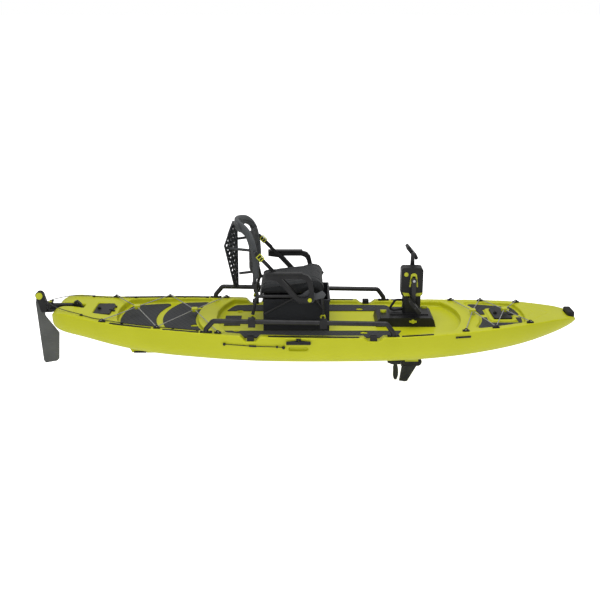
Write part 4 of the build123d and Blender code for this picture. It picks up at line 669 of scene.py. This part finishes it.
# ---- Crate under the seat -----------------------------------------------------------------
# An open tub of coated cloth over a stiff liner, held on the cockpit floor under the seat,
# with a bound rim and a woven look.
weave, given, out = new_group("weave", {"Pitch": 0.0016, "Slub": 0.3}, ["Height", "Thread"])
place = add(weave, "TexCoord").outputs["Object"]
axes = add(weave, "SeparateXYZ", {0: place}).outputs
sines = []
for axis in "XYZ":
    steps = add(weave, "Math", {0: axes[axis], 1: given["Pitch"]}, operation="DIVIDE").outputs[0]
    angle = add(weave, "Math", {0: steps, 1: 2 * math.pi}, operation="MULTIPLY").outputs[0]
    sines.append(add(weave, "Math", {0: angle}, operation="SINE").outputs[0])
pairs = [add(weave, "Math", {0: sines[a], 1: sines[b]}, operation="MULTIPLY").outputs[0]
         for a, b in ((0, 1), (1, 2), (0, 2))]
total = add(weave, "Math", {0: pairs[0], 1: pairs[1]}, operation="ADD").outputs[0]
total = add(weave, "Math", {0: total, 1: pairs[2]}, operation="ADD").outputs[0]
level = add(weave, "MapRange", {0: total, 1: -1.0, 2: 1.0}).outputs[0]
slub = add(weave, "TexNoise", {"Vector": place, "Scale": 160.0, "Detail": 2.0}).outputs[0]
uneven = add(weave, "Math", {0: slub, 1: given["Slub"], 2: level}, operation="MULTIPLY_ADD").outputs[0]
weave.links.new(uneven, out.inputs["Height"])
weave.links.new(level, out.inputs["Thread"])


def cloth_material(name, dark, light, pitch, roughness, depth, sheen=0.3, slub=0.3):
    """Woven cloth: threads that cross, with slubs, and a soft sheen."""
    material, tree, shader = new_material(name, roughness, Sheen_Weight=sheen, Sheen_Roughness=0.45)
    thread = use(material, weave, Pitch=pitch, Slub=slub)
    worn = use(material, moulded_grain, Fine=200.0, Broad=12.0)
    colour = blend_colours(tree, thread["Thread"], dark, light)
    faded = add(tree, "Math", {0: worn["Cloud"], 1: 0.22}, operation="MULTIPLY").outputs[0]
    mix = add(tree, "Mix", {0: faded, 6: colour, 7: (*light, 1)}, data_type="RGBA")
    tree.links.new(mix.outputs[2], shader.inputs["Base Color"])
    raise_by(material, shader, thread["Height"], 0.6, depth)
    return material


tub_cloth = cloth_material("tub_cloth", (0.009, 0.010, 0.013), (0.026, 0.028, 0.034), 0.0022, 0.6, 0.0003)
dress(["seat_box"], tub_cloth, 0.0020)

# ---- Seat cushion -------------------------------------------------------------------------
# Two layers of foam in a coated mesh cover, crowned on top and rolled over the front tube.
# The cover is sewn down in channels and has a corded seam where the top meets the sides.
FOAM_SWELL = 0.010
CHANNEL_DEPTH = 0.0045
CHANNEL_WIDTH = 0.006
CUSHION_CHANNELS = (-0.185, -0.100, -0.015, 0.070)
CUSHION_SIDE = 0.150
SIDES_TALL = 0.035
FOAM_PRESSURE = 4
SEAM_PROUD = 0.3             # share of a seam cord's radius that stands out of the cover


def padded_form(node, name, voxel, inset, swell, frames):
    """A node's solid as a cloth cover: remeshed, drawn in, blown up, and held within a swell."""
    piece = bpy.data.objects.new(name, skin_of(node))
    scene.collection.objects.link(piece)
    remesh = piece.modifiers.new("cover", "REMESH")
    remesh.mode = "VOXEL"
    remesh.voxel_size = voxel
    relax = piece.modifiers.new("relax", "SMOOTH")
    relax.iterations = 4
    apply_modifiers(piece)
    inward = [vertex.normal * -inset for vertex in piece.data.vertices]
    for vertex, step in zip(piece.data.vertices, inward):
        vertex.co += step
    start = [vertex.co.copy() for vertex in piece.data.vertices]
    cloth = piece.modifiers.new("cover", "CLOTH")
    cloth.settings.use_pressure = True
    cloth.settings.uniform_pressure_force = FOAM_PRESSURE
    cloth.settings.effector_weights.gravity = 0
    cloth.settings.quality = 4
    for frame_number in range(1, frames + 1):
        scene.frame_set(frame_number)
    apply_modifiers(piece)
    scene.frame_set(1)
    for vertex, home in zip(piece.data.vertices, start):
        moved = vertex.co - home
        if moved.length > swell:
            vertex.co = home + moved.normalized() * swell
    finer = piece.modifiers.new("finer", "SUBSURF")
    finer.levels = 1
    return apply_modifiers(piece)


def sew(piece, channels, depth, width):
    """Draws the cover in along sewn lines; a channel gives how far a point is from its line."""
    normals = [vertex.normal.copy() for vertex in piece.data.vertices]
    for vertex, normal in zip(piece.data.vertices, normals):
        place, pull = vertex.co.copy(), 0.0
        for channel in channels:
            away = channel(place)
            if away is not None and abs(away) < 3 * width:
                pull = max(pull, math.exp(-((away / width) ** 2)))
        if pull:
            vertex.co = place - normal * depth * pull


def corded_seam(points, piece, radius, name, material):
    """A cord sewn in a cloth edge: points are laid on the piece's surface, then piped."""
    seated = []
    for point in points:
        _, where, normal, _ = piece.closest_point_on_mesh(point)
        seated.append(where + normal * radius * SEAM_PROUD)
    seam, _ = tube_along(line_through([tuple(p) for p in seated]), radius, 8, name)
    seam.data.materials.append(material)
    return seam


seat_cloth = cloth_material("seat_cloth", (0.011, 0.012, 0.013), (0.027, 0.029, 0.031),
                            0.0030, 0.72, 0.0006, 0.08)
cushion = padded_form("seat_cushion", "cushion", 0.008, 0.004, FOAM_SWELL, 14)
cushion_low, cushion_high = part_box("seat_cushion")
top_only = cushion_low.z + SIDES_TALL
sew(cushion, [lambda p, x=x: p.x - x if p.z > top_only and abs(p.y) < CUSHION_SIDE else None
              for x in CUSHION_CHANNELS] +
    [lambda p, side=side: p.y - side * CUSHION_SIDE if p.z > top_only else None for side in (-1, 1)],
    CHANNEL_DEPTH, CHANNEL_WIDTH)
cushion.data.materials.clear()
cushion.data.materials.append(seat_cloth)
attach(cushion, "hull")
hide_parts("seat_cushion")
edge_cloth = cloth_material("edge_cloth", (0.008, 0.008, 0.009), (0.020, 0.020, 0.022), 0.0015, 0.6, 0.0002)
for side, word in ((-1, "starboard"), (1, "port")):
    across = side * (cushion_high.y - 0.004)
    rim = [Vector((x, across, z)) for x, z in ((cushion_low.x + 0.004, cushion_low.z + 0.02),
           (cushion_low.x, 0.524), (-0.13, 0.540), (0.0, 0.556), (0.09, 0.575), (0.14, 0.568), (0.163, 0.530),
           (0.160, 0.500), (cushion_high.x - 0.030, cushion_low.z + 0.006))]
    seam = corded_seam(rim, cushion, 0.0025, "cushion_seam_" + word, edge_cloth)
    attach(seam, "hull")

# ---- Back: arch, pad and cloth ------------------------------------------------------------
# An aluminium arch hinged on the seat's frame. A padded cover in grey cloth is zipped round
# its crown and legs, and a dark mesh sling is stretched between the legs for the back.
grey_powder = coated_metal("grey_powder_coat", (0.030, 0.032, 0.035), (0.042, 0.044, 0.048), 0.42,
                           (0.16, 0.16, 0.16), wear=0.35)
dress(["backrest_frame"], grey_powder)
grey_cloth = cloth_material("grey_cloth", (0.044, 0.048, 0.051), (0.082, 0.088, 0.092),
                            0.0024, 0.7, 0.0004, 0.1)
# Where the cover runs up a leg and over to the middle of the crown: place, thickness, width.
leg_path = [((-0.288, 0.205, 0.585), 0.030, 0.040), ((-0.288, 0.207, 0.680), 0.031, 0.040),
            ((-0.300, 0.201, 0.775), 0.032, 0.042), ((-0.322, 0.188, 0.850), 0.034, 0.044),
            ((-0.360, 0.150, 0.894), 0.032, 0.056), ((-0.392, 0.104, 0.903), 0.030, 0.070),
            ((-0.414, 0.052, 0.906), 0.028, 0.078), ((-0.420, 0.000, 0.906), 0.028, 0.080)]
mirrored = [((x, -y, z), thick, tall) for (x, y, z), thick, tall in leg_path[:-1]]
stations = mirrored + leg_path[::-1]


def padded_sweep(stations, name, sides=20, between=6, squareness=2.8):
    """A soft band along a path, each station with its own thickness and width."""
    centres = [Vector(place) for place, _, _ in stations]
    finer = []
    for i in range(len(stations) - 1):
        before, after = max(i - 1, 0), min(i + 2, len(stations) - 1)
        for k in range(between):
            t = k / between
            point = (2 * centres[i] + (centres[i + 1] - centres[before]) * t +
                     (2 * centres[before] - 5 * centres[i] + 4 * centres[i + 1] - centres[after]) * t * t +
                     (3 * centres[i] - centres[before] - 3 * centres[i + 1] + centres[after]) * t ** 3) / 2
            thick = stations[i][1] + (stations[i + 1][1] - stations[i][1]) * t
            tall = stations[i][2] + (stations[i + 1][2] - stations[i][2]) * t
            finer.append((point, thick, tall))
    finer.append((centres[-1], stations[-1][1], stations[-1][2]))
    make = bmesh.new()
    rings = []
    for i, (point, thick, tall) in enumerate(finer):
        ahead = (finer[min(i + 1, len(finer) - 1)][0] - finer[max(i - 1, 0)][0]).normalized()
        outward = Vector((-0.10, point.y, 0.0))
        outward = (outward - ahead * outward.dot(ahead)).normalized()
        wide = ahead.cross(outward).normalized()
        puff = 1 + 0.03 * math.sin(i * 1.7) + 0.02 * math.sin(i * 0.6 + 1)
        ring = []
        for k in range(sides):
            turn = 2 * math.pi * k / sides
            c, s = math.cos(turn), math.sin(turn)
            u = math.copysign(abs(c) ** (2 / squareness), c) * thick / 2 * puff
            v = math.copysign(abs(s) ** (2 / squareness), s) * tall / 2
            ring.append(make.verts.new(point + outward * u + wide * v))
        rings.append(ring)
    between_rings(make, rings)
    for ring, inner in ((rings[0], rings[1]), (rings[-1], rings[-2])):
        tip = make.verts.new(middle([v.co for v in ring]) + (ring[0].co - inner[0].co) * 0.3)
        for k in range(sides):
            make.faces.new((ring[k], ring[(k + 1) % sides], tip))
    bmesh.ops.recalc_face_normals(make, faces=make.faces)
    piece = in_scene(make, name)
    smooth = piece.modifiers.new("smooth", "SUBSURF")
    smooth.levels = 1
    return apply_modifiers(piece)


arch_pad = padded_sweep(stations, "arch_pad")
arch_pad.data.materials.append(grey_cloth)
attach(arch_pad, "backrest")
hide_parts("back_band")
for edge, sign in (("front", 1), ("rear", -1)):
    line = [Vector(place) + Vector((sign * thick * 0.45, 0, 0)) for place, thick, tall in stations]
    seam = corded_seam(line, arch_pad, 0.0018, "arch_seam_" + edge, edge_cloth)
    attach(seam, "backrest")

SLING_SEAM = 0.07
SLING_CHANNELS = (0.655, 0.720, 0.785)
sling = padded_form("back_fabric", "back_sling", 0.007, 0.001, 0.007, 10)
sew(sling, [lambda p, side=side: p.y - side * SLING_SEAM for side in (-1, 1)] +
    [lambda p, height=height: p.z - height for height in SLING_CHANNELS], 0.0025, 0.005)
sling_cloth = cloth_material("sling_cloth", (0.010, 0.011, 0.012), (0.026, 0.028, 0.030),
                             0.0034, 0.75, 0.0007, 0.08)
sling.data.materials.clear()
sling.data.materials.append(sling_cloth)
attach(sling, "backrest")
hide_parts("back_fabric")

# The lattice is a folded panel of grey nylon with a diamond grid, clamped behind the arch.
lattice_nylon = moulded("lattice_nylon", (0.022, 0.024, 0.027), (0.034, 0.036, 0.040), 0.45,
                        (0.10, 0.10, 0.11), fine=900.0, broad=12.0, depth=0.0002, wear=0.5)
dress(["lattice_panel"], lattice_nylon, 0.0012)

# ---- Back straps --------------------------------------------------------------------------
# Flat polyester webbing, 24 mm wide, from the back's shoulders to the side plates. Each
# passes through a lime ladder buckle, which leaves a short doubled tail below it.
STRAP_WIDE, STRAP_THICK = 0.024, 0.0022
strap_low, strap_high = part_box("back_straps")
STRAP_TOP = Vector((strap_low.x + 0.004, 0, strap_high.z - 0.008))
STRAP_FOOT = Vector((strap_high.x - 0.012, 0, strap_low.z + 0.013))
STRAP_SAG = 0.004
BUCKLE_AT, TAIL_TO = 0.12, 0.34          # shares of the strap, from its top
BUCKLE_LIFT, BUCKLE_THICK = 0.0015, 0.0075
# Each bar of the buckle: place along and across the strap, half its length, half its width.
BUCKLE_BARS = ((0, -0.0165, 0.021, 0.0028), (0, 0.0165, 0.021, 0.0028), (-0.019, 0, 0.003, 0.0165),
               (0.019, 0, 0.003, 0.0165), (0.002, 0, 0.0022, 0.0165))


def webbing_material(name, dark, light):
    """Webbing: ribs across the tape from its length, a smooth selvage along both edges."""
    material, tree, shader = new_material(name, 0.62, Sheen_Weight=0.08, Sheen_Roughness=0.4)
    along = add(tree, "Attribute", attribute_name="along").outputs["Fac"]
    around = add(tree, "Attribute", attribute_name="around").outputs["Fac"]
    steps = add(tree, "Math", {0: along, 1: 2 * math.pi / 0.0026}, operation="MULTIPLY").outputs[0]
    rib = add(tree, "Math", {0: steps}, operation="SINE").outputs[0]
    body = add(tree, "Math", {0: around, 1: 0.5}, operation="SUBTRACT").outputs[0]
    body = add(tree, "Math", {0: body}, operation="ABSOLUTE").outputs[0]
    body = add(tree, "Math", {0: body, 1: 0.42}, operation="LESS_THAN").outputs[0]
    rib = add(tree, "Math", {0: rib, 1: body}, operation="MULTIPLY").outputs[0]
    share = add(tree, "MapRange", {0: rib, 1: -1.0, 2: 1.0}).outputs[0]
    tree.links.new(blend_colours(tree, share, dark, light), shader.inputs["Base Color"])
    raise_by(material, shader, rib, 0.6, 0.0004)
    return material


def tape(points, wide, thick, name, face):
    """A flat tape along points, its face turned to a direction, with rounded edges."""
    make = bmesh.new()
    along, around = make.verts.layers.float.new("along"), make.verts.layers.float.new("around")
    upper = [(-0.5, 0), (-0.47, 0.4), (-0.4, 0.5), (-0.2, 0.5), (0, 0.5), (0.2, 0.5), (0.4, 0.5), (0.47, 0.4)]
    section = upper + [(-u, -v) for u, v in upper]
    rings, length = [], 0.0
    for i, point in enumerate(points):
        ahead = (points[min(i + 1, len(points) - 1)] - points[max(i - 1, 0)]).normalized()
        out = (Vector(face) - ahead * ahead.dot(Vector(face))).normalized()
        side = ahead.cross(out)
        length += (point - points[i - 1]).length if i else 0.0
        ring = []
        for u, v in section:
            vertex = make.verts.new(point + side * u * wide + out * v * thick)
            vertex[along], vertex[around] = length, u + 0.5
            ring.append(vertex)
        rings.append(ring)
    between_rings(make, rings)
    for face in make.faces:
        face.smooth = True
    close_ends(make, rings)
    bmesh.ops.recalc_face_normals(make, faces=make.faces)
    return in_scene(make, name)


black_webbing = webbing_material("black_webbing", (0.008, 0.008, 0.009), (0.026, 0.026, 0.028))
for side, word in ((-1, "starboard"), (1, "port")):
    level = Vector((0, side * (strap_high.y - 0.0015), 0))
    down = STRAP_FOOT - STRAP_TOP
    out = Vector((0, side, 0))
    run = []
    for k in range(41):
        t = k / 40
        sag = Vector((-0.7, 0, -0.7)) * STRAP_SAG * math.sin(math.pi * t)
        run.append(STRAP_TOP + down * t + level + sag)
    strap = tape(run, STRAP_WIDE, STRAP_THICK, "back_strap_" + word, (0, side, 0))
    strap.data.materials.append(black_webbing)
    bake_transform(strap)
    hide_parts("back_straps")
    tail_run = [STRAP_TOP + down * (BUCKLE_AT + (TAIL_TO - BUCKLE_AT) * k / 12) + level +
                out * (0.0026 + 0.004 * (k / 12) ** 2) for k in range(13)]
    tail = tape(tail_run, STRAP_WIDE * 0.97, STRAP_THICK * 0.9, "strap_tail_" + word, (0, side, 0))
    tail.data.materials.append(black_webbing)
    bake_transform(tail)
    make = bmesh.new()
    ahead = down.normalized()
    wide = ahead.cross(Vector((0, 1, 0))).normalized()
    centre = STRAP_TOP + down * BUCKLE_AT + level
    for u, v, half_u, half_v in BUCKLE_BARS:
        for vertex in bmesh.ops.create_cube(make, size=1.0)["verts"]:
            local = vertex.co.copy()
            vertex.co = (centre + ahead * (u + local.x * 2 * half_u) + wide * (v + local.y * 2 * half_v) +
                         out * (BUCKLE_LIFT + local.z * BUCKLE_THICK))
    bmesh.ops.recalc_face_normals(make, faces=make.faces)
    buckle = in_scene(make, "strap_buckle_" + word)
    round_edges(buckle, 0.0009)
    buckle.data.materials.append(lime_moulded)
    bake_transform(buckle)
    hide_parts("strap_buckles")

# ---- Pedal drive --------------------------------------------------------------------------
# A dock clamped over the slot in the floor carries a tower in glass-filled nylon. The case
# is in two halves with lime inlays, and steel arms turn two ribbed pedals.
dress(["drive_dock", "drive_tower"], black_moulded, 0.0015)
dress(["gearbox_starboard", "gearbox_port"], black_moulded, 0.0020)
dress(["drive_trims"], lime_moulded, 0.0006)
black_enamel = coated_metal("black_enamel", (0.012, 0.012, 0.013), (0.019, 0.019, 0.021), 0.30,
                            (0.20, 0.20, 0.20), wear=0.6, coat=0.3)
dress(["crank_arms"], black_enamel, 0.0015)
dress(["pedal_starboard", "pedal_port"], black_moulded, 0.0010)


def turned_steel(name, dark, light, roughness):
    """Turned steel: fine rings left by the tool, and small stains."""
    material, tree, shader = new_material(name, roughness, 1.0)
    place = add(tree, "TexCoord").outputs["Object"]
    rings = add(tree, "TexWave", {"Vector": place, "Scale": 900.0, "Distortion": 1.5, "Detail": 2.0})
    rings = rings.outputs[1]
    stain = use(material, moulded_grain, Fine=2200.0, Broad=60.0)
    tree.links.new(blend_colours(tree, stain["Cloud"], dark, light), shader.inputs["Base Color"])
    rough = add(tree, "MapRange", {0: rings, 3: roughness - 0.08, 4: roughness + 0.10})
    tree.links.new(rough.outputs[0], shader.inputs["Roughness"])
    raise_by(material, shader, rings, 0.25, 0.00006)
    return material


steel = turned_steel("turned_steel", (0.42, 0.43, 0.45), (0.58, 0.59, 0.61), 0.30)
dress(["bearings", "crank_axle", "drive_shaft", "prop_shaft"], steel, 0.0003)
dress(["lower_casing"], black_moulded, 0.0020)
blade_nylon = moulded("blade_nylon", (0.020, 0.022, 0.024), (0.030, 0.032, 0.035), 0.40, (0.09, 0.09, 0.10),
                      fine=700.0, broad=10.0, depth=0.0002, wear=0.6, scratch=0.35)
dress(["propeller", "skeg_fin"], blade_nylon)

# ---- Rudder -------------------------------------------------------------------------------
# A grey glass-filled blade on a pin with lime caps, in a black head that turns on a bracket
# bolted in the stern. The hand lever is on the port rail.
rudder_grey = moulded("rudder_grey", (0.086, 0.090, 0.088), (0.112, 0.116, 0.112), 0.48, (0.26, 0.26, 0.27),
                      fine=600.0, broad=8.0, depth=0.0002, wear=0.5, scratch=0.4)
dress(["rudder_blade"], rudder_grey, 0.0015)
dress(["rudder_mount", "rudder_head", "steering_lever"], black_moulded, 0.0015)
dress(["rudder_pins"], lime_moulded, 0.0010)

# ---- Sizes --------------------------------------------------------------------------------
# The box of the model as it looks; the box of the model as it was built is found after the import.
low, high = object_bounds()
